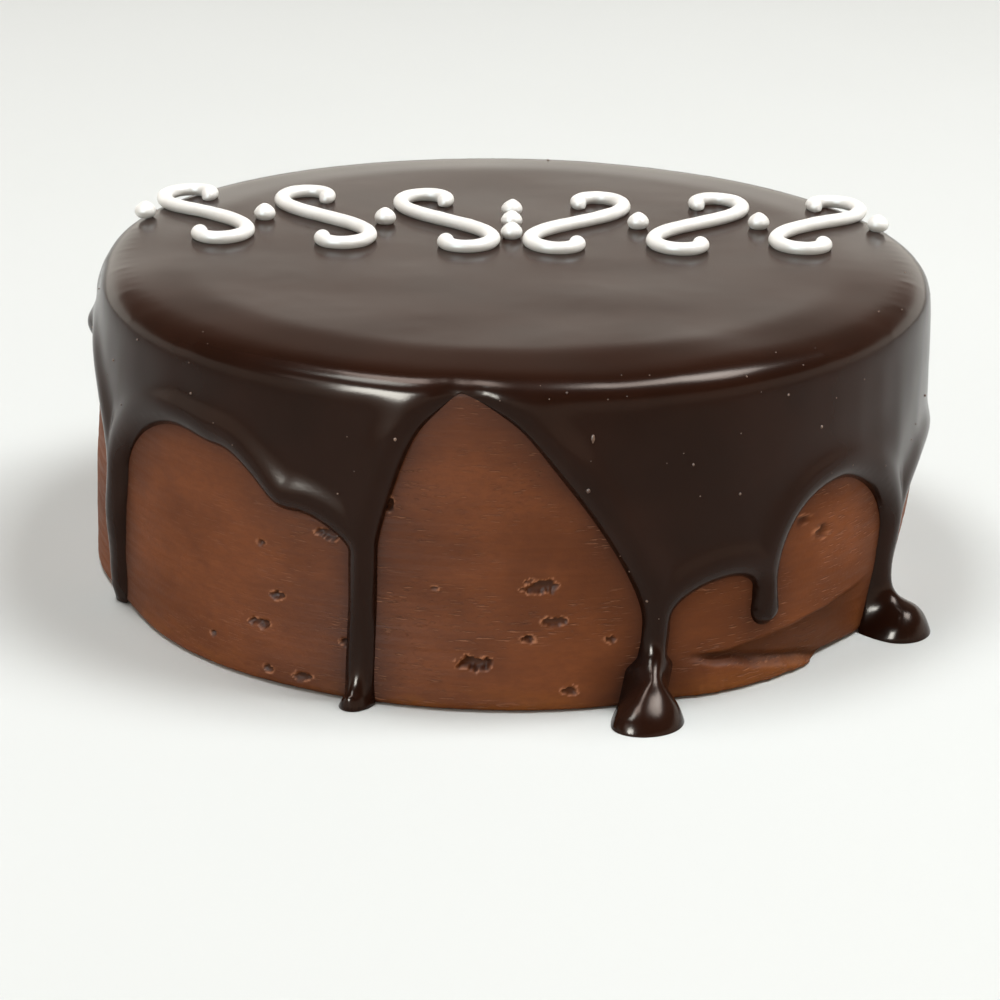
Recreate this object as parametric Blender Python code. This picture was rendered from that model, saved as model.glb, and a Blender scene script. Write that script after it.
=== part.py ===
"""A round chocolate cake: a cake frosted with milk chocolate buttercream, a dark
chocolate glaze poured over it that runs down the side in drips, and white icing piped
across the top.

Metres, +Z up. The origin is the middle of the cake's underside. Azimuths are in
degrees, 0 at the front (-Y) and growing towards the right (+X).
"""

import math
from collections import namedtuple

import bmesh
import bpy
import numpy as np
from mathutils import Vector
from mathutils.geometry import delaunay_2d_cdt, interpolate_bezier

MM = 0.001

# Frosted cake
CAKE_RADIUS = 111 * MM
CAKE_HEIGHT = 83.5 * MM
RIM_RADIUS = 3 * MM         # rounding of the frosting's top edge
FOOT_ROUNDING = 1.5 * MM    # rounding of its bottom edge
OVAL = 0.007                # the cake is this much wider, and less deep, than round
FOOT_FLARE = 0.8 * MM       # how far the side widens towards the bottom
CAKE_SEGMENTS = 90

# How the side leans in or out: at an azimuth, over a spread in degrees, it stands so many
# millimetres further out at the floor, low on the side and at the rim. What is added at
# the floor alone fades out over FOOT_REACH.
Lean = namedtuple("Lean", "azimuth spread foot low rim")
LEANS = [
    Lean(-18, 42, 2.6, 1.0, 0.0),
    Lean(88, 40, -6.0, -2.1, -0.7),
    Lean(-86, 24, 0.3, 1.3, -3.0),
    Lean(-66, 13, -2.8, 0.0, 0.0),
]
FOOT_REACH = 32 * MM

# The fold in the frosting, low on the side
FOLD_FROM, FOLD_TO = 22, 60         # azimuths of its ends
FOLD_RIDGE = 10 * MM, 17.5 * MM     # height of its upper edge at its ends
FOLD_LIP = 11 * MM                  # height of the lip under it, at its first end
FOLD_LIP_END = 0.68                 # share of the way at which the lip reaches the floor
FOLD_DEPTH = 1.6 * MM               # depth of the hollow between the two
FOLD_LIP_OUT = 1.6 * MM             # how far the lip stands out
FOLD_SOFTNESS = 3 * MM, 7 * MM      # heights over which the ridge and the lip round off

# Glaze
GAP = 0.35 * MM             # room between the glaze and the frosting
GLAZE_TOP = 2.5 * MM
RIM_FALL = 0.9 * MM         # how much thinner the glaze is at the rim than on the top
RIM_FALL_RUN = 20 * MM      # distance over which its top falls to the rim
GLAZE_SIDE = 2.5 * MM
GLAZE_LIP = 0.4 * MM        # thickness right at the glaze's edge
BEAD = 1.3 * MM             # extra thickness of the roll along the lower edge
BEAD_INSET = 5.5 * MM
BEAD_SPREAD = 4 * MM
EDGE_ROUND = 4 * MM         # distance over which the edge reaches full thickness
TIP_SPREAD = 0.75           # how gradually a drip widens to its tip
FOOT_RADIUS = 10 * MM       # concave bend where a drip meets the floor
SPLAY_BEFORE, SPLAY_AFTER = 15 * MM, 9 * MM  # a drip's foot splays out over this much more
EDGE_STEP = 3.2 * MM
INSETS = 1.3 * MM, 4.2 * MM     # rows of points inside the edge
SPINE_STEP = 3.6 * MM       # spacing of the points down the middle of a drip
SIDE_STEP = 6.5 * MM
TOP_STEP = 14 * MM
LINING_STEP = 11 * MM
RIM_CLEARANCE = 1.0 * MM
RIM_TURNS = np.radians([0, 30, 60, 90])
RIM_COUNT = 108             # points in each row round the rim

# A drip: its azimuth, the height where its straight sides begin, the height of its
# tip (or, negative, how far it runs out over the floor), half its width, the radius of
# its rounded tip, the extra thickness there, how far the tip drifts to the right, and how
# far back from the tip the thickest place lies, in radii of the tip.
Drip = namedtuple("Drip", "azimuth root tip neck bulb swell drift back", defaults=[1.1])
DRIPS = [
    Drip(-63.8, 40, -1.5, 5.0, 4.8, 0.8, -6.5),
    Drip(-18.3, 39, -7, 3.7, 4.1, 0.9, 0.0),
    Drip(19.6, 22, -19, 3.7, 8.6, 7.0, -6.2, 1.9),
    Drip(35.6, 27, 15.4, 3.7, 4.4, 1.4, 0.8),
    Drip(63.4, 28, -17, 4.8, 9.2, 3.8, -2.0),
    Drip(96, 30, 13, 4.0, 4.8, 1.8, -1.0),
    Drip(118, 30, -9, 3.6, 5.5, 1.5, 1.0),
    Drip(139, 42, 31, 4.2, 4.8, 1.5, 0.0),
    Drip(156, 30, 13, 3.6, 4.4, 1.4, -0.6),
    Drip(178, 36, -15, 4.2, 8.5, 5.0, 2.0, 1.5),
    Drip(203, 40, 24, 4.0, 4.8, 1.5, 0.8),
    Drip(226, 34, -9, 4.2, 6.0, 2.0, -1.0),
    Drip(242, 44, 31, 3.8, 4.6, 1.5, 0.0),
    Drip(257, 48, 27, 4.0, 4.8, 1.6, 0.0),
]
# The arch of bare frosting after each drip: the azimuth and height of its top, and how
# round its left and right shoulders are, from 0 for a straight line to 0.6.
Arch = namedtuple("Arch", "azimuth height left right")
ARCHES = [
    Arch(-46.8, 60.2, 0.45, 0.25),
    Arch(-6.0, 81.2, 0.20, 0.24),
    Arch(29.8, 30.6, 0.50, 0.50),
    Arch(47.8, 49, 0.60, 0.45),
    Arch(79, 40, 0.50, 0.50),
    Arch(107, 58, 0.45, 0.40),
    Arch(129, 66, 0.35, 0.40),
    Arch(147.5, 52, 0.50, 0.50),
    Arch(166.5, 72, 0.30, 0.35),
    Arch(191, 56, 0.45, 0.50),
    Arch(214, 66, 0.40, 0.35),
    Arch(234, 58, 0.50, 0.40),
    Arch(249, 69, 0.45, 0.50),
    Arch(279, 66, 0.55, 0.35),
]
# Where an arch's edge sags or rises from its smooth line: azimuth, spread in degrees
# and the drop in millimetres.
SAGS = [(-30, 3.2, 3.4), (-38, 3, -1.6), (-12.3, 3.4, -5.5), (2, 3, -1.2), (269, 3.5, 7)]
# Where the glaze is thicker: azimuth, height, spread and thickness in millimetres.
LUMPS = [
    (-30, 49, 9, 1.1), (-91, 64, 5, 2.2), (-91, 75, 4, 1.5), (-86, 68, 22, -1.1),
    (60, 52, 9, 0.9), (84, 67, 8, -0.8), (96, 58, 6, 1.5), (88, 40, 8, -0.9),
]

# Piped icing
ROPE_RADIUS = 2.2 * MM
ROPE_SQUASH = 0.85          # its height, as a share of its width
ROPE_SIDES = 8
ROPE_STEPS = 34
PATH_DETAIL = 8             # finer steps in which the rope's path is summed
ROPE_SINK = 0.25            # share of the rope's radius lost where it lies flat
ROPE_TAPER = 2.2            # how many steps at each end the rope takes to fill out
ROPE_END = 0.55             # share of its radius where it begins
SCROLL_LENGTH = 95.5 * MM     # length of the rope in one S-scroll
SCROLL_CURL = math.radians(282)     # how far each end curls
SCROLL_TIGHTEN = 2.4        # how quickly the curl closes towards the ends
SCROLL_LEAN = math.radians(40)
SCROLL_PITCH = 33.5 * MM
SCROLL_PARTING = 1.5 * MM   # how much further the two halves stand apart
SCROLLS_A_SIDE = 3
ICING_SMOOTH_ANGLE = 60
GARLAND_Y = 31 * MM         # how far behind the middle the garland's ends lie
GARLAND_SAG = 6 * MM        # how far its middle hangs forward
PEARL_RADIUS = 3.0 * MM
PEARL_SQUASH = 0.8
PEARL_TURNS = np.radians([-40, 0, 35, 65])  # its rings' latitudes, from the flat foot up
PEARL_SIDES = 10
PEARL_ROW = 12 * MM         # spacing of the middle row of pearls, front to back

FLAT = CAKE_RADIUS - RIM_RADIUS                 # path length to the rim
RIM_END = FLAT + RIM_RADIUS * math.pi / 2       # to the top of the straight side
SIDE_RUN = CAKE_HEIGHT - RIM_RADIUS - FOOT_RADIUS
SIDE_END = RIM_END + SIDE_RUN                   # to the bend at the foot
CORNER = SIDE_END + FOOT_RADIUS * math.pi / 4   # where the frosting meets the floor
FLOOR_START = SIDE_END + FOOT_RADIUS * math.pi / 2


def clear_scene():
    for thing in list(bpy.data.objects):
        bpy.data.objects.remove(thing)


def material(name, colour, roughness, coat=0.0):
    made = bpy.data.materials.new(name)
    made.use_nodes = True
    shader = made.node_tree.nodes["Principled BSDF"]
    shader.inputs["Base Color"].default_value = (*colour, 1)
    shader.inputs["Roughness"].default_value = roughness
    shader.inputs["Metallic"].default_value = 0.0
    shader.inputs["Coat Weight"].default_value = coat
    return made


def add_object(name, mesh_data, finish, smooth_angle=40):
    """A named, shaded object from a bmesh, which this frees."""
    bmesh.ops.recalc_face_normals(mesh_data, faces=mesh_data.faces)
    mesh = bpy.data.meshes.new(name)
    mesh_data.to_mesh(mesh)
    mesh_data.free()
    mesh.materials.append(finish)
    mesh.shade_smooth()
    mesh.set_sharp_from_angle(angle=math.radians(smooth_angle))
    made = bpy.data.objects.new(name, mesh)
    bpy.context.scene.collection.objects.link(made)
    return made


def smooth_step(value):
    value = np.clip(value, 0, 1)
    return value * value * (3 - 2 * value)


def hump(value):
    return np.exp(-np.square(value))


# --- the cake's outline -------------------------------------------------------------


def side_offset(azimuth, height):
    """How far the cake's surface lies outside its nominal radius."""
    up = np.clip(height / CAKE_HEIGHT, 0, 1)
    near_floor = 1 - smooth_step(height / FOOT_REACH)
    offset = FOOT_FLARE * (1 - up) - CAKE_RADIUS * OVAL * np.cos(2 * azimuth)
    for lean in LEANS:
        away = 1 - np.cos(azimuth - math.radians(lean.azimuth))
        share = np.exp(-away / (1 - math.cos(math.radians(lean.spread))))
        outward = lean.rim * up + lean.low * (1 - up) + (lean.foot - lean.low) * near_floor
        offset = offset + share * outward * MM
    return offset


def fold(azimuth, height):
    """Relief of the fold in the frosting: a hollow under a rising ridge, above a lip that
    falls to the floor."""
    along = (np.degrees(azimuth) - FOLD_FROM) / (FOLD_TO - FOLD_FROM)
    fade = smooth_step(along * 6) * smooth_step((1 - along) * 4)
    ridge = FOLD_RIDGE[0] + (FOLD_RIDGE[1] - FOLD_RIDGE[0]) * along
    lip = FOLD_LIP * (1 - along / FOLD_LIP_END)
    under_ridge = smooth_step((ridge - height) / FOLD_SOFTNESS[0])
    over_lip = smooth_step((height - lip) / FOLD_SOFTNESS[1] + 0.5)
    return fade * (FOLD_LIP_OUT * (1 - over_lip) - FOLD_DEPTH * under_ridge * over_lip)


def place(azimuth, radius, height):
    """Points in space from cylindrical ones."""
    return np.stack(
        [radius * np.sin(azimuth), -radius * np.cos(azimuth), height], axis=-1
    )


def frosted_cake(finish):
    """The frosted cake: a turned body, slightly oval, with a fold near its foot."""
    foot_turns = np.radians([0, 45, 90])
    rows = [
        (CAKE_RADIUS - FOOT_ROUNDING * (1 - math.sin(t)), FOOT_ROUNDING * (1 - math.cos(t)))
        for t in foot_turns
    ]
    rows += [(CAKE_RADIUS, h * MM) for h in (3.5, 6, 9, 12.5, 16.5, 22, 36, 58)]
    rows += [
        (FLAT + RIM_RADIUS * math.sin(t), CAKE_HEIGHT - RIM_RADIUS * (1 - math.cos(t)))
        for t in RIM_TURNS[::-1]
    ]
    azimuths = np.arange(CAKE_SEGMENTS) * 2 * math.pi / CAKE_SEGMENTS
    cake = bmesh.new()
    rings = []
    for radius, height in rows:
        outward = radius + side_offset(azimuths, height) + fold(azimuths, height)
        points = place(azimuths, outward, np.full(CAKE_SEGMENTS, height))
        rings.append([cake.verts.new(p) for p in points])
    bridge_rings(cake, rings)
    close_with_fan(cake, rings[0], (0, 0, 0))
    close_with_fan(cake, rings[-1], (0, 0, CAKE_HEIGHT))
    return add_object("frosted_cake", cake, finish)


def bridge_rings(mesh_data, rings):
    for lower, upper in zip(rings, rings[1:]):
        count = len(lower)
        for i in range(count):
            j = (i + 1) % count
            mesh_data.faces.new((lower[i], lower[j], upper[j], upper[i]))


def close_with_fan(mesh_data, ring, centre):
    middle = mesh_data.verts.new(centre)
    for i, vertex in enumerate(ring):
        mesh_data.faces.new((vertex, ring[(i + 1) % len(ring)], middle))


# --- the glaze ----------------------------------------------------------------------
# The glaze is laid out flat by two lengths: x, around the cake at its nominal radius,
# and s, the path from the middle of the top, over the rim, down the side and out
# over the floor.


def path_at(height):
    """Path length to a height on the side or rim; a negative one counts out over the
    floor from the side."""
    if height > CAKE_HEIGHT - RIM_RADIUS:
        return FLAT + RIM_RADIUS * math.acos(1 - (CAKE_HEIGHT - height) / RIM_RADIUS)
    if height > FOOT_RADIUS:
        return SIDE_END - (height - FOOT_RADIUS)
    if height > -FOOT_RADIUS:
        return CORNER - height * math.pi / 4
    return FLOOR_START - (height + FOOT_RADIUS)


def around(azimuth):
    return math.radians(azimuth) * CAKE_RADIUS


def drip_half_width(drip, s):
    """Half the drip's width at path s, swelling to its round tip."""
    bulb, neck = drip.bulb * MM, drip.neck * MM
    below = s - (path_at(drip.tip * MM) - bulb)
    tip = np.sqrt(np.maximum(bulb * bulb - below * below, 0))
    swelling = neck + (bulb - neck) * hump(below * neck / (TIP_SPREAD * bulb * bulb))
    return np.where(below > 0, tip, swelling)


def drip_centre(drip, s):
    root, tip = path_at(drip.root * MM), path_at(drip.tip * MM)
    return around(drip.azimuth) + drip.drift * MM * smooth_step((s - root) / (tip - root))


def drip_edge(drip):
    """(x, s) points down the drip's left side, round its tip and up its right side."""
    root, tip = path_at(drip.root * MM), path_at(drip.tip * MM)
    turn = np.linspace(0, 1, 60)
    s = np.concatenate([root + (tip - drip.bulb * MM - root) * turn,
                        tip - drip.bulb * MM * (1 - np.sin(turn[1:] * math.pi / 2))])
    half = drip_half_width(drip, s)
    centre = drip_centre(drip, s)
    left = np.stack([centre - half, s], axis=1)
    right = np.stack([centre + half, s], axis=1)
    return left, right[::-1]


def shoulder(foot, top, roundness):
    """Points from an arch's top to the side of a drip, without the last one."""
    (x0, s0), (x1, s1) = top, foot
    knots = (
        Vector((x0, s0)),
        Vector((x0 + (x1 - x0) * roundness, s0)),
        Vector((x1, s1 + (s0 - s1) * roundness)),
        Vector((x1, s1)),
    )
    return np.array(interpolate_bezier(*knots, 40))[:-1, :2]


def resample(points, step):
    """A line with evenly spaced points, without its last one."""
    lengths = np.concatenate([[0], np.cumsum(np.linalg.norm(np.diff(points, axis=0), axis=1))])
    count = int(round(lengths[-1] / step))
    wanted = np.arange(count) * lengths[-1] / count
    return np.stack([np.interp(wanted, lengths, points[:, k]) for k in (0, 1)], axis=1)


def glaze_edge(step):
    """The glaze's lower edge as (x, s) points, once round the cake."""
    turn_round = 2 * math.pi * CAKE_RADIUS
    line = []
    for i, (drip, arch) in enumerate(zip(DRIPS, ARCHES)):
        previous = ARCHES[i - 1]
        before = (around(previous.azimuth) - (turn_round if i == 0 else 0),
                  path_at(previous.height * MM))
        after = (around(arch.azimuth), path_at(arch.height * MM))
        left, right = drip_edge(drip)
        line.append(shoulder(left[0], before, previous.right))
        line += [left, right[1:-1]]
        line.append(shoulder(right[-1], after, arch.left)[::-1])
    points = np.vstack(line)
    for azimuth, spread, drop in SAGS:
        distance = (points[:, 0] - around(azimuth)) / around(spread)
        points[:, 1] += drop * MM * hump(distance)
    return resample(points, step)


def distance_to_edge(points, edge):
    """Distance of (x, s) points from the glaze's edge, measured round the cake too."""
    turn_round = 2 * math.pi * CAKE_RADIUS
    best = np.full(len(points), np.inf)
    for start in range(0, len(edge), 200):
        part = edge[None, start:start + 200]
        across = points[:, None, 0] - part[..., 0]
        across -= turn_round * np.round(across / turn_round)
        down = points[:, None, 1] - part[..., 1]
        best = np.minimum(best, np.hypot(across, down).min(axis=1))
    return best


def extra_thickness(points):
    """Swellings at the drips' tips, in the pools at the foot and at the lumps."""
    turn_round = 2 * math.pi * CAKE_RADIUS
    swellings = []
    for drip in DRIPS:
        s = path_at(drip.tip * MM) - drip.back * drip.bulb * MM
        swellings.append((drip_centre(drip, s), s, 1.2 * drip.bulb, drip.swell))
    for azimuth, height, spread, thickness in LUMPS:
        swellings.append((around(azimuth), path_at(height * MM), spread, thickness))
    total = np.zeros(len(points))
    for x, s, spread, thickness in swellings:
        across = points[:, 0] - x
        across -= turn_round * np.round(across / turn_round)
        total += thickness * MM * hump(np.hypot(across, points[:, 1] - s) / (spread * MM))
    return total


def rim_fall(s):
    """How much thinner the glaze is at path s, near the rim."""
    return RIM_FALL * smooth_step((s - FLAT + RIM_FALL_RUN) / RIM_FALL_RUN)


def glaze_thickness(points, distance):
    swell = extra_thickness(points)
    on_side = smooth_step((points[:, 1] - FLAT) / (20 * MM))
    body = GLAZE_TOP + (GLAZE_SIDE - GLAZE_TOP) * on_side + swell
    body -= rim_fall(points[:, 1]) * (1 - on_side)
    body += BEAD * on_side * hump((distance - BEAD_INSET) / BEAD_SPREAD)
    reach = EDGE_ROUND + 0.7 * swell
    inside = np.clip(distance / reach, 0, 1)
    return GLAZE_LIP + (body - GLAZE_LIP) * np.sqrt(1 - np.square(1 - inside))


def glaze_points(points, thickness, fill):
    """Points in space a thickness away from the frosting. Fill, from 0 to 1, rounds
    out the corner between the side and the floor."""
    azimuth, s = points[:, 0] / CAKE_RADIUS, points[:, 1]
    turn = np.clip((s - FLAT) / RIM_RADIUS, 0, math.pi / 2)
    drop = np.clip(s - RIM_END, 0, SIDE_RUN)
    bend = np.clip((s - SIDE_END) / FOOT_RADIUS, 0, math.pi / 2)
    out = np.maximum(s - FLOOR_START, 0)
    halves = bend / (math.pi / 4)
    corner_out, corner_down = np.clip(halves - 1, 0, 1), np.clip(halves, 0, 1)
    round_out, round_down = 1 - np.cos(bend), np.sin(bend)
    radius = np.minimum(s, FLAT) + (RIM_RADIUS + GAP) * np.sin(turn) + out
    radius += FOOT_RADIUS * (corner_out + fill * (round_out - corner_out))
    height = CAKE_HEIGHT - RIM_RADIUS + (RIM_RADIUS + GAP) * np.cos(turn) - drop
    height -= FOOT_RADIUS * (corner_down + fill * (round_down - corner_down))
    splay_run = SPLAY_BEFORE + FLOOR_START - SIDE_END + SPLAY_AFTER
    splay = smooth_step((s - SIDE_END + SPLAY_BEFORE) / splay_run) * math.pi / 2
    radius += thickness * np.sin(turn - splay)
    height += thickness * np.cos(turn - splay)
    radius += side_offset(azimuth, height) * np.clip(s / CAKE_RADIUS, 0, 1)
    return place(azimuth, radius, np.maximum(height, 0))


def interior_points(edge, clearance, steps):
    """(x, s) points on rings inside the glaze's outline, and pairs of neighbours on
    the rings round the rim. Steps gives the spacing on the top and on the side."""
    top_step, side_step = steps
    count = int(round(2 * math.pi * CAKE_RADIUS / side_step))
    rings = []
    for s in np.arange(top_step, FLAT - 0.4 * top_step, top_step):
        rings.append((s, max(6, int(round(2 * math.pi * s / top_step))), False))
    rings += [(FLAT + RIM_RADIUS * turn, RIM_COUNT, True) for turn in RIM_TURNS]
    for s in np.arange(RIM_END + side_step, FLOOR_START + 12 * MM, side_step):
        rings.append((s, count, False))
    points, pairs = [], []
    for k, (s, count, joined) in enumerate(rings):
        margin = RIM_CLEARANCE if joined else clearance
        stagger = 0 if joined else 0.5 * (k % 2)
        x = (np.arange(count) + stagger) / count * 2 * math.pi * CAKE_RADIUS
        ring = np.stack([x, np.full(count, s)], axis=1)
        kept = well_inside(ring, edge, margin)
        number = len(points) + np.cumsum(kept) - 1
        points += list(ring[kept])
        if joined:
            halfway = ring + np.array([math.pi * CAKE_RADIUS / count, 0])
            linked = kept & np.roll(kept, -1) & well_inside(halfway, edge, margin)
            pairs += [(number[i], number[(i + 1) % count]) for i in np.flatnonzero(linked)]
    return np.array(points), pairs


def well_inside(points, edge, margin):
    """Which (x, s) points lie inside the glaze's outline, further than a margin from it."""
    return inside_polygon(on_disc(points), on_disc(edge)) & (distance_to_edge(points, edge) > margin)


def on_disc(points):
    """The glaze laid flat on a disc: s is the distance from its middle."""
    azimuth = points[:, 0] / CAKE_RADIUS
    return np.stack([points[:, 1] * np.sin(azimuth), -points[:, 1] * np.cos(azimuth)], axis=1)


def inside_polygon(points, polygon):
    """Which points lie inside a closed polygon, by crossings."""
    inside = np.zeros(len(points), bool)
    ends = np.roll(polygon, -1, axis=0)
    for (x0, y0), (x1, y1) in zip(polygon, ends):
        if y0 == y1:
            continue
        crosses = (points[:, 1] > min(y0, y1)) & (points[:, 1] <= max(y0, y1))
        at = x0 + (points[:, 1] - y0) * (x1 - x0) / (y1 - y0)
        inside ^= crosses & (points[:, 0] < at)
    return inside


def drip_spines(step):
    """Points down the middle of each drip."""
    spines = []
    for drip in DRIPS:
        s = np.arange(path_at(drip.root * MM), path_at(drip.tip * MM) - 0.4 * drip.bulb * MM, step)
        spines.append(np.stack([drip_centre(drip, s), s], axis=1))
    return np.vstack(spines)


def corner_points():
    """Points across each drip where the side meets the floor, and pairs that join them."""
    points, pairs = [], []
    for drip in DRIPS:
        half = float(drip_half_width(drip, CORNER))
        if path_at(drip.tip * MM) < CORNER or half == 0:
            continue
        for across in (-0.55, 0, 0.55):
            if across > -0.55:
                pairs.append((len(points) - 1, len(points)))
            points.append((drip_centre(drip, CORNER) + across * half, CORNER))
    return np.array(points), pairs


def inset_points(edge, inset):
    """The edge moved inwards, without the points that come too near another part."""
    ahead = np.roll(edge, -1, axis=0) - np.roll(edge, 1, axis=0)
    turn_round = 2 * math.pi * CAKE_RADIUS
    ahead[:, 0] -= turn_round * np.round(ahead[:, 0] / turn_round)
    ahead /= np.linalg.norm(ahead, axis=1)[:, None]
    inward = np.stack([ahead[:, 1], -ahead[:, 0]], axis=1)
    moved = edge + inset * inward
    return moved[distance_to_edge(moved, edge) > 0.93 * inset]


def triangulate(edge, inner, pairs):
    """Triangles over the edge and inner points, whose numbering is kept. The pairs of
    inner points stay joined."""
    flat = np.vstack([on_disc(edge), on_disc(inner)])
    count = len(edge)
    border = [(i, (i + 1) % count) for i in range(count)]
    border += [(int(a) + count, int(b) + count) for a, b in pairs]
    made = delaunay_2d_cdt([Vector(p) for p in flat], border, [list(range(count))], 1, 1e-7)
    vertices, _, faces, sources = made[0], made[1], made[2], made[3]
    if len(vertices) != len(flat):
        raise ValueError("the glaze's outline crosses itself")
    number = [source[0] for source in sources]
    return [[number[v] for v in face] for face in faces]


def ganache_glaze(finish):
    """The poured glaze: an outer face with rounded edges over a lining on the frosting."""
    edge = glaze_edge(EDGE_STEP)
    spines = drip_spines(SPINE_STEP)
    rows = [inset_points(edge, inset) for inset in INSETS]
    rows = [row[distance_to_edge(row, spines) > 0.6 * SPINE_STEP] for row in rows]
    inner, outer_pairs = interior_points(edge, INSETS[1] + 0.35 * SIDE_STEP, (TOP_STEP, SIDE_STEP))
    outer = np.vstack([inner, spines, *rows])
    lining, lining_pairs = interior_points(edge, 0.3 * LINING_STEP, (2 * TOP_STEP, LINING_STEP))
    corners, corner_pairs = corner_points()
    lining_pairs += [(a + len(lining), b + len(lining)) for a, b in corner_pairs]
    lining = np.vstack([lining, corners])

    distance = distance_to_edge(outer, edge)
    thickness = glaze_thickness(outer, distance)
    edge_top = glaze_points(edge, np.full(len(edge), GLAZE_LIP), 0)
    outer_top = glaze_points(outer, thickness, smooth_step(distance / EDGE_ROUND))
    edge_base = glaze_points(edge, np.zeros(len(edge)), 0)
    lining_base = glaze_points(lining, np.zeros(len(lining)), 0)

    glaze = bmesh.new()
    top = [glaze.verts.new(p) for p in np.vstack([edge_top, outer_top])]
    base = [glaze.verts.new(p) for p in np.vstack([edge_base, lining_base])]
    for face in triangulate(edge, outer, outer_pairs):
        glaze.faces.new([top[c] for c in face])
    for face in triangulate(edge, lining, lining_pairs):
        glaze.faces.new([base[c] for c in reversed(face)])
    count = len(edge)
    for i in range(count):
        j = (i + 1) % count
        glaze.faces.new((top[i], base[i], base[j], top[j]))
    return add_object("ganache_glaze", glaze, finish)


# --- the piped icing ----------------------------------------------------------------


def scroll_path(side):
    """Centre points of an S-scroll round the origin: its bend grows towards both ends.
    The side is -1 or 1, for the left or the right half of the garland."""
    t = np.linspace(-1, 1, PATH_DETAIL * ROPE_STEPS + 1)
    heading = SCROLL_LEAN + SCROLL_CURL * np.abs(t) ** SCROLL_TIGHTEN
    step = SCROLL_LENGTH / (len(t) - 1)
    path = np.cumsum(np.stack([np.cos(heading), np.sin(heading)], axis=1), axis=0) * step
    path = path[::PATH_DETAIL] - path.mean(axis=0)
    path[:, 0] *= side
    return path


def icing_base(x, y):
    """The height at which icing rests on the glaze, at a place on the top."""
    return CAKE_HEIGHT + 2 * GAP + GLAZE_TOP - rim_fall(np.hypot(x, y))


def piped_rope(name, path, finish):
    """A rope of icing along a flat path, lying a little flattened on the glaze, with
    ends that taper to where the nozzle touched down and lifted off."""
    ahead = np.gradient(path, axis=0)
    ahead /= np.linalg.norm(ahead, axis=1)[:, None]
    aside = np.stack([-ahead[:, 1], ahead[:, 0]], axis=1)
    from_end = np.minimum(np.arange(len(path)), np.arange(len(path))[::-1])
    girth = ROPE_RADIUS * (ROPE_END + (1 - ROPE_END) * smooth_step(from_end / ROPE_TAPER))
    turns = (np.arange(ROPE_SIDES) + 0.5) * 2 * math.pi / ROPE_SIDES
    rope = bmesh.new()
    rings = []
    for point, side, radius in zip(path, aside, girth):
        base = icing_base(*point)
        ring = []
        for turn in turns:
            across = radius * math.cos(turn)
            up = max(math.sin(turn), ROPE_SINK - 1) + 1 - ROPE_SINK
            height = base + radius * ROPE_SQUASH * up
            ring.append(rope.verts.new((*(point + side * across), height)))
        rings.append(ring)
    bridge_rings(rope, rings)
    for ring, direction in ((rings[0], -ahead[0]), (rings[-1], ahead[-1])):
        centre = sum((v.co for v in ring), Vector()) / ROPE_SIDES
        tip = centre + Vector((*direction, 0)) * ROPE_RADIUS * 0.4
        close_with_fan(rope, ring, tip)
    return add_object(name, rope, finish, ICING_SMOOTH_ANGLE)


def pearl(name, centre, finish):
    """A small drop of icing, flat underneath."""
    drop = bmesh.new()
    base = icing_base(*centre)
    middle = base - PEARL_RADIUS * PEARL_SQUASH * math.sin(PEARL_TURNS[0])
    turns_round = np.arange(PEARL_SIDES) * 2 * math.pi / PEARL_SIDES
    rings = []
    for turn in PEARL_TURNS:
        radius = PEARL_RADIUS * math.cos(turn)
        height = middle + PEARL_RADIUS * PEARL_SQUASH * math.sin(turn)
        ring = [
            drop.verts.new((centre[0] + radius * math.cos(a), centre[1] + radius * math.sin(a), height))
            for a in turns_round
        ]
        rings.append(ring)
    bridge_rings(drop, rings)
    close_with_fan(drop, rings[0], (*centre, base))
    close_with_fan(drop, rings[-1], (*centre, middle + PEARL_RADIUS * PEARL_SQUASH))
    return add_object(name, drop, finish, ICING_SMOOTH_ANGLE)


def garland_y(x):
    """The line across the top that the piping follows."""
    reach = SCROLL_PITCH * SCROLLS_A_SIDE
    return GARLAND_Y - GARLAND_SAG * (1 - (x / reach) ** 2)


def garland_place(k, side):
    """A place on the garland, k pitches from its middle."""
    x = side * (SCROLL_PARTING + SCROLL_PITCH * k)
    return np.array([x, garland_y(x)])


def piped_icing(finish):
    """Mirrored S-scrolls on either side of the middle, with pearls between them."""
    pearls = [np.array([0, garland_y(0) + row * PEARL_ROW]) for row in (-1, 0, 1)]
    for side in (-1, 1):
        for k in range(SCROLLS_A_SIDE):
            path = scroll_path(side) + garland_place(k + 0.5, side)
            number = k + 1 if side > 0 else k + 1 + SCROLLS_A_SIDE
            piped_rope(f"icing_scroll_{number}", path, finish)
            pearls.append(garland_place(k + 1, side))
    for k, centre in enumerate(pearls):
        pearl(f"icing_pearl_{k + 1}", centre, finish)


def main():
    clear_scene()
    frosted_cake(material("milk chocolate buttercream", (0.165, 0.056, 0.029), 0.6))
    ganache_glaze(material("dark chocolate ganache", (0.024, 0.013, 0.011), 0.28, 0.3))
    piped_icing(material("white icing", (0.88, 0.87, 0.83), 0.45))


main()
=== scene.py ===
"""The looks of a round chocolate cake: frosting with spatula marks and torn pits, a dark
chocolate glaze poured over it that runs down in drips, and white icing piped on top.

Metres, +Z up. The origin is the middle of the cake's underside. Azimuths are in
degrees, 0 at the front (-Y) and growing towards the right (+X).
"""

import math
from collections import namedtuple

import bpy
import numpy as np
from mathutils import Matrix, Vector, kdtree, noise
from mathutils.geometry import delaunay_2d_cdt, interpolate_bezier


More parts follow.
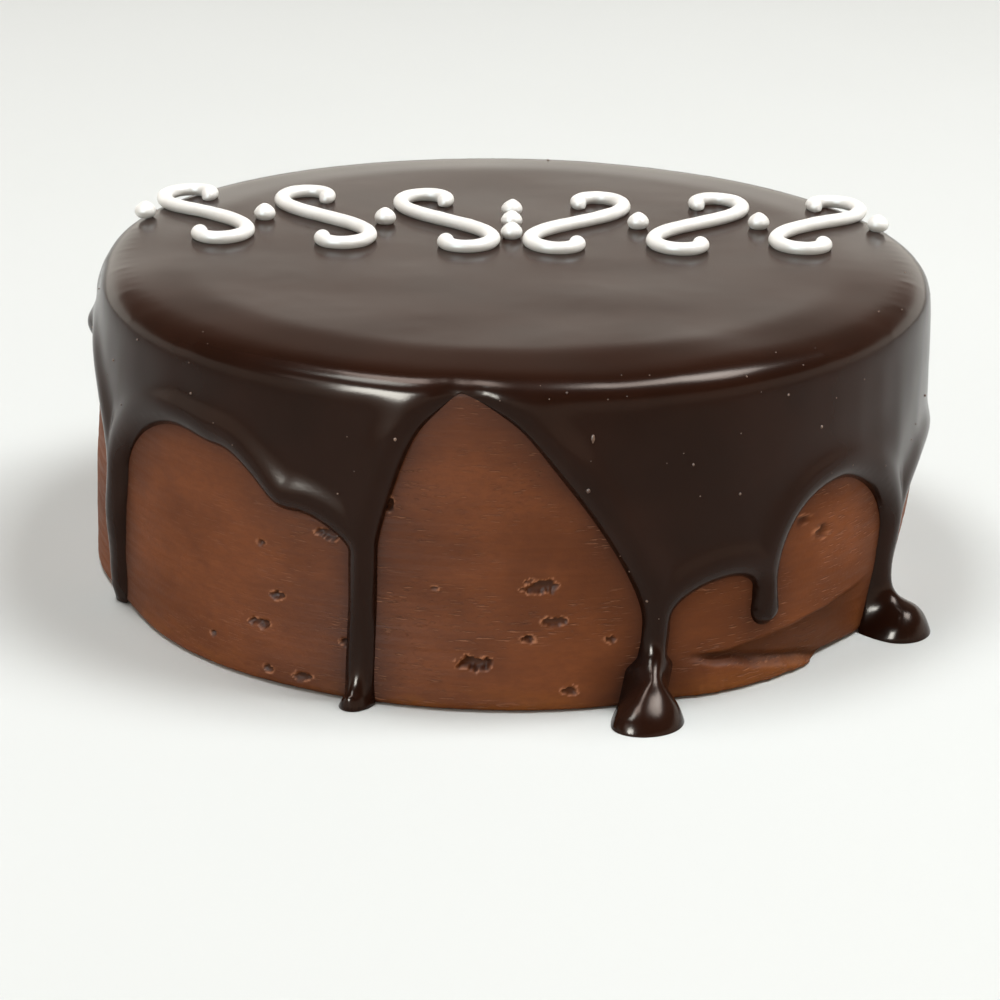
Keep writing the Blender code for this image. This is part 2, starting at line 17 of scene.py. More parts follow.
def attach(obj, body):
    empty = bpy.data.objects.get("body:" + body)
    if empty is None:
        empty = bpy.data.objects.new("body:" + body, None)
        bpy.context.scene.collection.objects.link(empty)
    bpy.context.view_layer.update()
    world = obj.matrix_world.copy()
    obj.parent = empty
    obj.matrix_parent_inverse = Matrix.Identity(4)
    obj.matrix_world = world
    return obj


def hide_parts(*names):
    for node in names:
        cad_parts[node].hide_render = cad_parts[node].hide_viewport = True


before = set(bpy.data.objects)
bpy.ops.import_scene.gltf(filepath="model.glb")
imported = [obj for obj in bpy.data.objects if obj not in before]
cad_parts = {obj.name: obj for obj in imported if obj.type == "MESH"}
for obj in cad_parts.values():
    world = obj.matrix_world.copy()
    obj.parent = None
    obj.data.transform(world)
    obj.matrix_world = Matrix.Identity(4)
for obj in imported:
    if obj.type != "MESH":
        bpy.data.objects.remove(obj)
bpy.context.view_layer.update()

MM = 0.001

# The cake in its frosting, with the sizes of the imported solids
CAKE_RADIUS = 111 * MM
CAKE_HEIGHT = 83.5 * MM
RIM_RADIUS = 3 * MM
FOOT_ROUNDING = 1.5 * MM
OVAL = 0.007                # how far it is from round, as a share of its radius
FOOT_FLARE = 0.8 * MM

# Where the side leans: azimuth and spread, then how far out it is at the floor, low down
# and at the rim, in millimetres
Lean = namedtuple("Lean", "azimuth spread foot low rim")
LEANS = [
    Lean(-18, 42, 2.6, 1.0, 0.0),
    Lean(88, 40, -6.0, -2.1, -0.7),
    Lean(-86, 24, 0.3, 1.3, -3.0),
    Lean(-66, 13, -2.8, 0.0, 0.0),
]
FOOT_REACH = 32 * MM        # how far up the lean at the floor is felt

# The fold in the frosting at the foot
FOLD_FROM, FOLD_TO = 22, 60         # azimuths
FOLD_RIDGE = 10 * MM, 17.5 * MM     # its ridge's height at either end
FOLD_LIP = 11 * MM                  # its lip's height at the start
FOLD_LIP_END = 0.68                 # how far along the lip meets the floor
FOLD_DEPTH = 1.6 * MM
FOLD_LIP_OUT = 1.6 * MM
FOLD_SOFTNESS = 2.2 * MM, 2.2 * MM  # of the ridge and of the lip
FOLD_CREVICE = 1.0 * MM, 1.0 * MM   # half its width, and its depth

# The glaze
GAP = 0.35 * MM             # between the solids of the frosting and the glaze
GLAZE_TOP = 2.5 * MM
GLAZE_SIDE = 2.5 * MM
GLAZE_SIDE_RUN = 20 * MM    # over which the top's thickness turns into the side's
RIM_FALL = 0.9 * MM         # how much thinner the top's glaze is at the rim
RIM_FALL_RUN = 20 * MM
BEAD = 1.3 * MM             # how much thicker it is just inside its edge
BEAD_INSET = 5.5 * MM
BEAD_SPREAD = 4 * MM
EDGE_ROUND = 4 * MM         # how far in from its edge it is rounded
SWELL_ROUND = 0.7           # how much further, as a share of the swelling
TIP_SPREAD = 0.55
TIP_SWELL_SPREAD = 1.2      # spread of the swelling at a drip's tip, in bulbs
FOOT_RADIUS = 10 * MM       # of its bend from the side to the floor
SPLAY_BEFORE, SPLAY_AFTER = 15 * MM, 9 * MM     # how far beside it the thickness turns up
COLLAR_SWELL = 2.6 * MM     # how much wider a drip is from its collar down
COLLAR_RUN = 4 * MM

# A drip: azimuth, then the heights of its root and tip (below 0 out on the floor), half
# its width at the neck and the bulb, the bulb's swelling and its drift sideways, in
# millimetres. Then how many bulbs back from the tip it swells, and its collar's height.
DRIP_FIELDS = "azimuth root tip neck bulb swell drift back collar"
Drip = namedtuple("Drip", DRIP_FIELDS, defaults=[1.1, None])
DRIPS = [
    Drip(-63.8, 40, -1.5, 5.0, 4.8, 0.8, -6.5),
    Drip(-18.3, 39, -7, 3.7, 4.1, 0.9, 0.0),
    Drip(19.6, 22, -19, 3.7, 8.6, 7.0, -6.2, 1.9, 13.5),
    Drip(35.6, 27, 15.4, 3.7, 4.4, 1.4, 0.8),
    Drip(63.4, 28, -17, 4.8, 9.2, 3.8, -2.0),
    Drip(96, 30, 13, 4.0, 4.8, 1.8, -1.0),
    Drip(118, 30, -9, 3.6, 5.5, 1.5, 1.0),
    Drip(139, 42, 31, 4.2, 4.8, 1.5, 0.0),
    Drip(156, 30, 13, 3.6, 4.4, 1.4, -0.6),
    Drip(178, 36, -15, 4.2, 8.5, 5.0, 2.0, 1.5),
    Drip(203, 40, 24, 4.0, 4.8, 1.5, 0.8),
    Drip(226, 34, -9, 4.2, 6.0, 2.0, -1.0),
    Drip(242, 44, 31, 3.8, 4.6, 1.5, 0.0),
    Drip(257, 48, 27, 4.0, 4.8, 1.6, 0.0),
]

# An arch of bare frosting after each drip: azimuth, height in millimetres, and how round
# its shoulders are
Arch = namedtuple("Arch", "azimuth height left right")
ARCHES = [
    Arch(-46.8, 60.2, 0.45, 0.25),
    Arch(-6.0, 81.2, 0.20, 0.24),
    Arch(29.8, 30.6, 0.50, 0.50),
    Arch(47.8, 49, 0.60, 0.45),
    Arch(79, 40, 0.50, 0.50),
    Arch(107, 58, 0.45, 0.40),
    Arch(129, 66, 0.35, 0.40),
    Arch(147.5, 52, 0.50, 0.50),
    Arch(166.5, 72, 0.30, 0.35),
    Arch(191, 56, 0.45, 0.50),
    Arch(214, 66, 0.40, 0.35),
    Arch(234, 58, 0.50, 0.40),
    Arch(249, 69, 0.45, 0.50),
    Arch(279, 66, 0.55, 0.35),
]

# Where the glaze's edge hangs lower: azimuth, spread in degrees and drop in millimetres
SAGS = [(-30, 3.2, 3.4), (-38, 3, -1.6), (-12.3, 3.4, -5.5), (2, 3, -1.2), (269, 3.5, 7)]

# Where the glaze is thicker or thinner: azimuth, height, spread and thickness
LUMPS = [
    (-30, 49, 9, 1.3), (-91, 64, 5, 1.75), (-91, 75, 4, 1.5), (-86, 68, 22, -1.1),
    (60, 52, 9, 0.9), (84, 67, 8, -0.8), (96, 58, 6, 1.5), (88, 40, 8, -0.9),
    (16.9, 9, 8, 1.8), (62.2, 9, 8, 1.4), (31, 83, 17, 0.7), (14, 83, 11, -0.6),
]

# The glaze's fine mesh
SEAT = 0.3 * MM             # how far the glaze is sunk into the frosting
EDGE_LIFT = 0.05 * MM       # how far its edge stands off the frosting
EDGE_STEP = 0.8 * MM
EDGE_DETAIL = 0.2 * MM      # spacing of the points that distances to the edge are taken from
DRIP_STEPS, SHOULDER_STEPS = 60, 40
INSETS = 0.25 * MM, 0.7 * MM, 1.4 * MM, 2.3 * MM    # rows of points inside the edge
INSET_SHARE = 0.93          # how near to another row one may come
SIDE_STEP = 1.05 * MM
TOP_STEP = 2.6 * MM
LINING_STEP = 5 * MM
POOL_REACH = 14 * MM        # how far over the floor there can be glaze
RIM_TURNS = np.radians([0, 12, 24, 36, 48, 60, 72, 84])
WAVES_INSET = 6 * MM        # how far from the edge its relief is in full
WAVES_SHIFT = 0.1 * MM      # how far the relief is drawn in
RELAX_ROUNDS = 30           # rounds in which the surface is evened out
RELAX_STEP = 0.6            # how far a point moves in each
RELAX_RIM = 7 * MM          # how far from the rim that reaches
RELAX_LOW = 0.2             # the share of it low down
RELAX_ABOVE = 14 * MM       # how far above the bend at the foot that begins
RELAX_NECK = 0.7            # the share of it in the drips' necks, just above the bend
NECK_RISE = 3 * MM          # how far above the bend the middle of those is
NECK_REACH = 11 * MM

# The frosting's fine mesh
FINE_FROM, FINE_TO = -42, 28    # azimuths between which its columns are closest
FINE_EDGE = 6 * MM              # over which they spread out
FINE_STEP = 0.36 * MM
COLUMN_STEP = 1.8 * MM
COLUMN_SAMPLES = 20001
ROW_STEP = 0.47 * MM
HIGH_FROM = 56 * MM             # its rows are wider above this
HIGH_STEP = 1.6 * MM
DRAWN_IN = 2.2 * MM             # height of the uneven rows at its foot

STAIN_AND_SHADE_REACH = 4.5 * MM          # how far the soak stain and the painted shade beside the glaze reach
TORN_LIP = 0.2 * MM             # how high the torn lip round a pit is, and half its width
PIT_EDGE = 0.25                 # softness of a pit's edge, and how far a pit is looked for,
PIT_REACH = 2.5                 # both in half widths of the pit

# Torn pits in the frosting: azimuth, then height, width, tallness and depth in millimetres
Pit = namedtuple("Pit", "azimuth height width tallness depth")
PITS = [
    Pit(4.4, 32.6, 8.5, 3.6, 1.0),
    Pit(-3.7, 12.7, 8.5, 3.8, 2.4),
    Pit(6.4, 23.6, 7.0, 2.0, 0.6),
    Pit(2.9, 19.2, 3.2, 1.8, 1.3),
    Pit(-15.2, 52.2, 3.0, 3.4, 1.6),
    Pit(-23, 42.1, 6.5, 2.6, 1.3),
    Pit(-30.3, 23.5, 4.2, 2.0, 1.4),
    Pit(-32.6, 15.3, 6.5, 2.2, 1.4),
    Pit(-20.3, 15.0, 2.6, 1.8, 1.6),
    Pit(-33, 36.3, 2.2, 1.2, 1.0),
    Pit(13.4, 18.2, 2.8, 1.4, 0.7),
    Pit(-9, 31.6, 1.8, 1.0, 0.9),
    Pit(-26.2, 4.0, 4.5, 2.2, 0.8),
    Pit(-31.3, 4.0, 3.4, 1.8, 0.7),
    Pit(8.3, 5.6, 3.5, 2.2, 0.8),
    Pit(-40.6, 8.7, 1.8, 1.4, 1.0),
    Pit(45.8, 36.1, 4.5, 4.0, 1.0),
    Pit(42, 40.8, 3.5, 3.0, 0.8),
]

# Specks in the glaze, and crumbs: azimuth, then height, width and tallness in millimetres
SPECK_SEED = 7
SPECK_COUNT = 130
SPECK_SIZE = 0.14 * MM, 0.42 * MM
SPECK_LOWEST = 20 * MM
SPECK_SIDES, SPECK_ROWS = 6, 3
CRUMBS = [
    (10.3, 70.5, 1.0, 2.4), (10.0, 58.8, 1.2, 1.2), (-13.6, 70, 0.9, 0.9), (43, 66, 0.9, 0.9),
]

# Piped icing
ROPE_RADIUS = 2.2 * MM
ROPE_SQUASH = 0.85
ROPE_SIDES = 20
ROPE_STEPS = 220
ROPE_SINK = 0.25
ROPE_END = 2.2 * MM         # distance over which its ends round off
ICING_SEAT = 0.25 * MM      # how far the icing is sunk into the glaze
SCROLL_LENGTH = 95.5 * MM
SCROLL_CURL = math.radians(282)
SCROLL_TIGHTEN = 2.4
SCROLL_LEAN = math.radians(40)
SCROLL_PITCH = 33.5 * MM
SCROLL_PARTING = 1.5 * MM
SCROLLS_A_SIDE = 3
GARLAND_Y = 31 * MM
GARLAND_SAG = 6 * MM
PEARL_RADIUS = 3 * MM
PEARL_SQUASH = 0.8
PEARL_FROM, PEARL_TO = np.radians([-48, 88])    # how far round from its foot to its peak
PEARL_ROWS, PEARL_SIDES = 14, 28
PEARL_PEAK = 0.35 * MM      # how much its peak is drawn up, and leans at most
PEARL_ROW = 12 * MM

# The camera, as the photograph was taken
CAMERA_DISTANCE = 0.912
CAMERA_ELEVATION = math.radians(20.061)
CAMERA_ROLL = math.radians(1.082)
CAMERA_TARGET = Vector((-0.00177, 0, 0.01452))
CAMERA_LENS = 118.5
CAMERA_SENSOR = 36

# The studio: the brightness of the walls in front and behind, of the dim part above them
# and of the ceiling, and the parts of the direction's Y and Z between which they change
WALL_LIGHT = 1.1, 1.16
DIM_LIGHT = 0.27
CEILING_LIGHT = 0.1
WALL_BACK = -0.2, 0.9
WALL_TOP = 0.235, 0.33
CEILING_START = 0.55, 0.85
WALL_COLOUR = 1.0, 0.96, 0.87
DIM_COLOUR = 1.0, 0.70, 0.55
GLEAM_COLOUR = 0.75, 0.94, 1.0      # cool, because the glaze tints what it reflects
FLOOR_HALF = 12.0
FLOOR_HEIGHT = -0.05 * MM           # just under the cake

# Path lengths from the middle of the top, over the rim and down the side
FLAT = CAKE_RADIUS - RIM_RADIUS
RIM_END = FLAT + RIM_RADIUS * math.pi / 2
SIDE_RUN = CAKE_HEIGHT - RIM_RADIUS - FOOT_RADIUS
SIDE_END = RIM_END + SIDE_RUN
CORNER = SIDE_END + FOOT_RADIUS * math.pi / 4
FLOOR_START = SIDE_END + FOOT_RADIUS * math.pi / 2
TURN_ROUND = 2 * math.pi * CAKE_RADIUS


def smooth_step(value):
    value = np.clip(value, 0, 1)
    return value * value * (3 - 2 * value)


def hump(value):
    return np.exp(-np.square(value))


def noise_at(points, scale, shift=0.0):
    """Smooth noise of about -1 to 1 at points in space. Scale is its grain in metres,
    one number or one for each axis."""
    scaled = points / np.asarray(scale) + shift
    return np.array([noise.noise(p) for p in scaled])


def make_object(name, points, faces, finish, slot, *nodes):
    """A smooth-shaded piece of the cake that stands for CAD nodes."""
    mesh = bpy.data.meshes.new(name)
    mesh.from_pydata(np.asarray(points).tolist(), [], faces)
    mesh.materials.append(finish)
    mesh.shade_smooth()
    made = bpy.data.objects.new(name, mesh)
    bpy.context.scene.collection.objects.link(made)
    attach(made, "root")
    if nodes:
        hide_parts(*nodes)
    return made


# --- the cake's outline ---


def side_offset(azimuth, height):
    """How far the cake's surface lies outside its nominal radius."""
    up = np.clip(height / CAKE_HEIGHT, 0, 1)
    near_floor = 1 - smooth_step(height / FOOT_REACH)
    offset = FOOT_FLARE * (1 - up) - CAKE_RADIUS * OVAL * np.cos(2 * azimuth)
    for lean in LEANS:
        away = 1 - np.cos(azimuth - math.radians(lean.azimuth))
        share = np.exp(-away / (1 - math.cos(math.radians(lean.spread))))
        outward = lean.rim * up + lean.low * (1 - up) + (lean.foot - lean.low) * near_floor
        offset = offset + share * outward * MM
    return offset


def place(azimuth, radius, height):
    """Points in space from cylindrical ones."""
    return np.stack([radius * np.sin(azimuth), -radius * np.cos(azimuth), height], axis=-1)


def around(azimuth):
    """An azimuth as a length round the cake."""
    return math.radians(azimuth) * CAKE_RADIUS


def wrapped(across):
    """Distances round the cake, taken the shorter way."""
    return across - TURN_ROUND * np.round(across / TURN_ROUND)


# --- the frosting ---


def fold(azimuth, height, points):
    """Relief of the fold in the frosting: a hollow under a rising ridge, above a rough lip
    that falls to the floor. Also how much painted shade each point gets for lying in the
    hollow or the crevice."""
    along = (np.degrees(azimuth) - FOLD_FROM) / (FOLD_TO - FOLD_FROM)
    ends = smooth_step(along * 6) * smooth_step((1 - along) * 4)
    wander = 0.5 * MM * noise_at(points, 7 * MM, 3.1)
    ridge = FOLD_RIDGE[0] + (FOLD_RIDGE[1] - FOLD_RIDGE[0]) * along + wander
    lip = FOLD_LIP * (1 - along / FOLD_LIP_END) + 2 * wander
    under_ridge = smooth_step((ridge - height) / FOLD_SOFTNESS[0])
    over_lip = smooth_step((height - lip) / FOLD_SOFTNESS[1] + 0.5)
    rough = 1 + 0.3 * noise_at(points, [2 * MM, 2 * MM, 6 * MM], 7.7)
    crevice = hump((height - lip - FOLD_SOFTNESS[1] / 2) / FOLD_CREVICE[0])
    relief = FOLD_LIP_OUT * rough * (1 - over_lip) - FOLD_DEPTH * under_ridge * over_lip
    # Painted shade in the crevice and in the hollow under the ridge
    shaded = np.maximum(0.9 * crevice, 0.65 * under_ridge * over_lip)
    return ends * (relief - FOLD_CREVICE[1] * crevice), ends * shaded


def pits(azimuth, height, points):
    """How much painted shade each point gets for lying in a torn pit, most of all under its
    upper edge, and how far it is on the lip round one, which gets a painted highlight, both
    from 0 to 1. Also the depth there."""
    ragged = noise_at(points, [2.4 * MM, 2.4 * MM, 1.5 * MM], 11.3)
    ragged += 0.6 * noise_at(points, [0.9 * MM, 0.9 * MM, 0.7 * MM], 17.9)
    broken = smooth_step(0.8 + 1.6 * noise_at(points, 2.2 * MM, 27.1))
    inside, torn, depth = np.zeros((3, len(points)))
    for pit in PITS:
        size = 0.5 * MM * math.sqrt(pit.width * pit.tallness)
        across = (azimuth - math.radians(pit.azimuth)) * CAKE_RADIUS / (0.5 * pit.width * MM)
        up = (height - pit.height * MM) / (0.5 * pit.tallness * MM)
        near = np.hypot(across, up) < PIT_REACH
        reach = np.hypot(across[near], up[near]) + 0.5 * ragged[near]
        hole = smooth_step((1 - reach) / PIT_EDGE)
        # Painted shade, darkest under the pit's upper edge
        shaded = 0.45 + 0.55 * smooth_step(0.6 + up[near])
        # The torn lip, raised a little and given a painted highlight
        lip = hump((reach - 1) * size / TORN_LIP - 1) * broken[near]
        inside[near] = np.maximum(inside[near], hole * shaded)
        torn[near] = np.maximum(torn[near], lip)
        depth[near] += pit.depth * MM * hole - TORN_LIP * lip
    return inside, torn, depth


def beside_glaze(azimuth, height):
    """How near each point of the frosting is to the glaze's edge, from 0 to 1."""
    on_side, in_bend = SIDE_END + FOOT_RADIUS - height, CORNER - height * math.pi / 4
    s = np.where(height > FOOT_RADIUS, on_side, in_bend)
    distance_to_edge = EdgeDistance(glaze_edge(EDGE_STEP))
    distance = distance_to_edge(np.stack([azimuth * CAKE_RADIUS, s], axis=1))
    return np.exp(-distance / STAIN_AND_SHADE_REACH)


def spatula_marks(points):
    """Shallow streaks round the cake, left by the spatula, and slow unevenness."""
    streaks = noise_at(points, [38 * MM, 38 * MM, 1.7 * MM], 1.9)
    broad = noise_at(points, [60 * MM, 60 * MM, 9 * MM], 5.3)
    slow = noise_at(points, 45 * MM, 8.8)
    return 0.06 * MM * streaks + 0.14 * MM * broad + 0.3 * MM * slow


def foot_unevenness(height, points):
    """The frosting's lowest millimetres, drawn in unevenly."""
    rough = 0.5 + 0.5 * noise_at(points, [14 * MM, 14 * MM, 40 * MM], 21.0)
    fine = noise_at(points, [3 * MM, 3 * MM, 3 * MM], 31.0)
    return (0.9 * rough + 0.15 * fine) * MM * smooth_step(1 - height / DRAWN_IN)


def column_azimuths():
    """Azimuths of the frosting's columns, closest between FINE_FROM and FINE_TO."""
    start, end = around(FINE_FROM), around(FINE_TO)
    x = np.linspace(-TURN_ROUND / 2, TURN_ROUND / 2, COLUMN_SAMPLES)
    inside = smooth_step((x - start) / FINE_EDGE + 1) * smooth_step((end - x) / FINE_EDGE + 1)
    density = 1 / COLUMN_STEP + (1 / FINE_STEP - 1 / COLUMN_STEP) * inside
    number = np.concatenate([[0], np.cumsum((density[1:] + density[:-1]) / 2 * np.diff(x))])
    count = int(round(number[-1]))
    return np.interp(np.arange(count) * number[-1] / count, number, x) / CAKE_RADIUS


def frosting_rows():
    """Radius and height of the frosting's rows, from its foot to its rim."""
    turns = np.radians([0, 30, 60, 90])
    heights = [
        *np.arange(FOOT_ROUNDING + ROW_STEP, HIGH_FROM, ROW_STEP),
        *np.arange(HIGH_FROM, CAKE_HEIGHT - RIM_RADIUS, HIGH_STEP),
    ]
    foot = [
        (CAKE_RADIUS - FOOT_ROUNDING * (1 - math.sin(t)), FOOT_ROUNDING * (1 - math.cos(t)))
        for t in turns
    ]
    rim = [
        (FLAT + RIM_RADIUS * math.sin(t), CAKE_HEIGHT - RIM_RADIUS * (1 - math.cos(t)))
        for t in turns[::-1]
    ]
    return foot + [(CAKE_RADIUS, height) for height in heights] + rim


def frosting(finish):
    """The frosted cake: its side row by row, closed by a fan below and one on top."""
    azimuths = column_azimuths()
    rows = frosting_rows()
    radius = np.repeat([r for r, _ in rows], len(azimuths))
    height = np.repeat([h for _, h in rows], len(azimuths))
    azimuth = np.tile(azimuths, len(rows))
    plain = place(azimuth, radius, height)
    inside, torn, depth = pits(azimuth, height, plain)
    relief, shaded = fold(azimuth, height, plain)
    outward = radius + side_offset(azimuth, height) + relief
    outward += spatula_marks(plain) - depth - foot_unevenness(height, plain)
    # One mask of painted shade, for the pits and for the fold's hollow and crevice
    inside = np.maximum(inside, shaded)
    points = np.vstack([place(azimuth, outward, height), [[0, 0, 0], [0, 0, CAKE_HEIGHT]]])
    faces = grid_faces(len(rows), len(azimuths))
    first, last = len(points) - 2, len(points) - 1
    top = (len(rows) - 1) * len(azimuths)
    for i in range(len(azimuths)):
        j = (i + 1) % len(azimuths)
        faces.append((first, j, i))
        faces.append((last, top + i, top + j))
    made = make_object("frosting", points, faces, finish, "buttercream", "frosted_cake")
    # How near the glaze's edge each point is, for the soak stain and the painted shade there
    stained_and_shaded = beside_glaze(azimuth, height)
    # Masks for the material: painted shade in the pits and the fold, a painted highlight on the
    # pits' lips, and the stain and painted shade beside the glaze
    for name, values in (("pit", inside), ("torn", torn), ("stain_and_shade", stained_and_shaded)):
        mark_points(made, name, np.concatenate([values, [0, 0]]))


def grid_faces(rows, columns):
    """Quads of a grid whose columns close round."""
    i = np.arange(columns)
    j = (i + 1) % columns
    return [
        tuple(quad)
        for row in range(rows - 1)
        for quad in np.stack([i, j, j + columns, i + columns], axis=1) + row * columns
    ]


def tube_faces(rows, columns):
    """A grid's faces, and one over either end."""
    points = range(rows * columns)
    ends = [tuple(points[:columns])[::-1], tuple(points[-columns:])]
    return grid_faces(rows, columns) + ends


def mark_points(made, name, values):
    """Give a piece's points an attribute."""
    attribute = made.data.attributes.new(name, "FLOAT", "POINT")
    attribute.data.foreach_set("value", np.asarray(values, np.float32))


# --- the glaze ---
# The glaze is laid out flat by two lengths: x, around the cake at its nominal radius,
# and s, the path from the middle of the top, over the rim, down the side and out
# over the floor.


def path_at(height):
    """Path length to a height on the side or rim; a negative one counts out over the
    floor from the side."""
    if height > CAKE_HEIGHT - RIM_RADIUS:
        return FLAT + RIM_RADIUS * math.acos(1 - (CAKE_HEIGHT - height) / RIM_RADIUS)
    if height > FOOT_RADIUS:
        return SIDE_END - (height - FOOT_RADIUS)
    if height > -FOOT_RADIUS:
        return CORNER - height * math.pi / 4
    return FLOOR_START - (height + FOOT_RADIUS)


def drip_half_width(drip, s):
    """Half the drip's width at path s, swelling to its round tip."""
    bulb, neck = drip.bulb * MM, drip.neck * MM
    below = s - (path_at(drip.tip * MM) - bulb)
    tip = np.sqrt(np.maximum(bulb * bulb - below * below, 0))
    swelling = neck + (bulb - neck) * hump(below * neck / (TIP_SPREAD * bulb * bulb))
    if drip.collar:
        wider = COLLAR_SWELL * smooth_step((s - path_at(drip.collar * MM)) / COLLAR_RUN)
        swelling = np.maximum(swelling, neck + wider)
    return np.where(below > 0, tip, swelling)


def drip_centre(drip, s):
    root, tip = path_at(drip.root * MM), path_at(drip.tip * MM)
    return around(drip.azimuth) + drip.drift * MM * smooth_step((s - root) / (tip - root))


def drip_edge(drip):
    """(x, s) points down the drip's left side, round its tip and up its right side."""
    root, tip = path_at(drip.root * MM), path_at(drip.tip * MM)
    turn = np.linspace(0, 1, DRIP_STEPS)
    s = np.concatenate([root + (tip - drip.bulb * MM - root) * turn,
                        tip - drip.bulb * MM * (1 - np.sin(turn[1:] * math.pi / 2))])
    half = drip_half_width(drip, s)
    centre = drip_centre(drip, s)
    left = np.stack([centre - half, s], axis=1)
    right = np.stack([centre + half, s], axis=1)
    return left, right[::-1]


def shoulder(foot, top, roundness):
    """Points from an arch's top to the side of a drip, without the last one."""
    (x0, s0), (x1, s1) = top, foot
    knots = (
        Vector((x0, s0)),
        Vector((x0 + (x1 - x0) * roundness, s0)),
        Vector((x1, s1 + (s0 - s1) * roundness)),
        Vector((x1, s1)),
    )
    return np.array(interpolate_bezier(*knots, SHOULDER_STEPS))[:-1, :2]


def resample(points, step):
    """A line with evenly spaced points, without its last one."""
    lengths = np.concatenate([[0], np.cumsum(np.linalg.norm(np.diff(points, axis=0), axis=1))])
    count = int(round(lengths[-1] / step))
    wanted = np.arange(count) * lengths[-1] / count
    return np.stack([np.interp(wanted, lengths, points[:, k]) for k in (0, 1)], axis=1)


def glaze_edge(step):
    """The glaze's lower edge as (x, s) points, once round the cake."""
    line = []
    for i, (drip, arch) in enumerate(zip(DRIPS, ARCHES)):
        previous = ARCHES[i - 1]
        before = (around(previous.azimuth) - (TURN_ROUND if i == 0 else 0),
                  path_at(previous.height * MM))
        after = (around(arch.azimuth), path_at(arch.height * MM))
        left, right = drip_edge(drip)
        line.append(shoulder(left[0], before, previous.right))
        line += [left, right[1:-1]]
        line.append(shoulder(right[-1], after, arch.left)[::-1])
    points = np.vstack(line)
    for azimuth, spread, drop in SAGS:
        distance = (points[:, 0] - around(azimuth)) / around(spread)
        points[:, 1] += drop * MM * hump(distance)
    return resample(points, step)


class EdgeDistance:
    """Distances of (x, s) points from the glaze's edge, measured round the cake too."""

    def __init__(self, edge):
        shifts = (-TURN_ROUND, 0, TURN_ROUND)
        points = np.vstack([edge + (shift, 0) for shift in shifts])
        points = points[np.abs(points[:, 0]) < TURN_ROUND]
        self.tree = kdtree.KDTree(len(points))
        for number, (x, s) in enumerate(points):
            self.tree.insert((x, s, 0), number)
        self.tree.balance()

    def __call__(self, points):
        across = wrapped(points[:, 0])
        return np.array([self.tree.find((x, s, 0))[2] for x, s in zip(across, points[:, 1])])


def extra_thickness(points):
    """Swellings at the drips' tips, in the pools at the foot and at the lumps."""
    swellings = []
    for drip in DRIPS:
        s = path_at(drip.tip * MM) - drip.back * drip.bulb * MM
        swellings.append((drip_centre(drip, s), s, TIP_SWELL_SPREAD * drip.bulb, drip.swell))
    for azimuth, height, spread, thickness in LUMPS:
        swellings.append((around(azimuth), path_at(height * MM), spread, thickness))
    total = np.zeros(len(points))
    for x, s, spread, thickness in swellings:
        distance = np.hypot(wrapped(points[:, 0] - x), points[:, 1] - s)
        total += thickness * MM * hump(distance / (spread * MM))
    return total


def rim_fall(s):
    """How much thinner the glaze is at path s, near the rim."""
    return RIM_FALL * smooth_step((s - FLAT + RIM_FALL_RUN) / RIM_FALL_RUN)


def glaze_thickness(points, distance):
    """The glaze's thickness, none at its edge, rolled to a bead just inside it."""
    swell = extra_thickness(points)
    on_side = smooth_step((points[:, 1] - FLAT) / GLAZE_SIDE_RUN)
    body = GLAZE_TOP + (GLAZE_SIDE - GLAZE_TOP) * on_side + swell
    body -= rim_fall(points[:, 1]) * (1 - on_side)
    body += BEAD * on_side * hump((distance - BEAD_INSET) / BEAD_SPREAD)
    inside = np.clip(distance / (EDGE_ROUND + SWELL_ROUND * swell), 0, 1)
    return (body + GAP) * np.sqrt(1 - np.square(1 - inside))


def glaze_points(points, thickness, fill):
    """Points in space a thickness away from the frosting. Fill, from 0 to 1, rounds
    out the corner between the side and the floor."""
    azimuth, s = points[:, 0] / CAKE_RADIUS, points[:, 1]
    turn = np.clip((s - FLAT) / RIM_RADIUS, 0, math.pi / 2)
    drop = np.clip(s - RIM_END, 0, SIDE_RUN)
    bend = np.clip((s - SIDE_END) / FOOT_RADIUS, 0, math.pi / 2)
    out = np.maximum(s - FLOOR_START, 0)
    halves = bend / (math.pi / 4)
    corner_out, corner_down = np.clip(halves - 1, 0, 1), np.clip(halves, 0, 1)
    round_out, round_down = 1 - np.cos(bend), np.sin(bend)
    radius = np.minimum(s, FLAT) + RIM_RADIUS * np.sin(turn) + out
    radius += FOOT_RADIUS * (corner_out + fill * (round_out - corner_out))
    height = CAKE_HEIGHT - RIM_RADIUS + RIM_RADIUS * np.cos(turn) - drop
    height -= FOOT_RADIUS * (corner_down + fill * (round_down - corner_down))
    splay_run = SPLAY_BEFORE + FLOOR_START - SIDE_END + SPLAY_AFTER
    splay = smooth_step((s - SIDE_END + SPLAY_BEFORE) / splay_run) * math.pi / 2
    radius += thickness * np.sin(turn - splay)
    height += thickness * np.cos(turn - splay)
    radius += side_offset(azimuth, height) * np.clip(s / CAKE_RADIUS, 0, 1)
    return place(azimuth, radius, np.maximum(height, 0))


def ring_points(edge, distance_to_edge, clearance, steps, rim_turns):
    """(x, s) points on rings inside the glaze's outline. Steps gives the spacing on
    the top and on the side."""
    top_step, side_step = steps
    rings = list(np.arange(top_step, FLAT - 0.4 * top_step, top_step))
    rings += [FLAT + RIM_RADIUS * turn for turn in rim_turns]
    rings += list(np.arange(RIM_END, FLOOR_START + POOL_REACH, side_step))
    points = []
    for k, s in enumerate(rings):
        step = top_step if s < FLAT - 4 * side_step else side_step
        count = max(6, int(round(2 * math.pi * min(s, CAKE_RADIUS) / step)))
        x = (np.arange(count) + 0.5 * (k % 2)) / count * TURN_ROUND
        points.append(np.stack([x, np.full(count, s)], axis=1))
    points = np.vstack(points)
    points = points[inside_polygon(on_disc(points), on_disc(edge))]
    return points[distance_to_edge(points) > clearance]


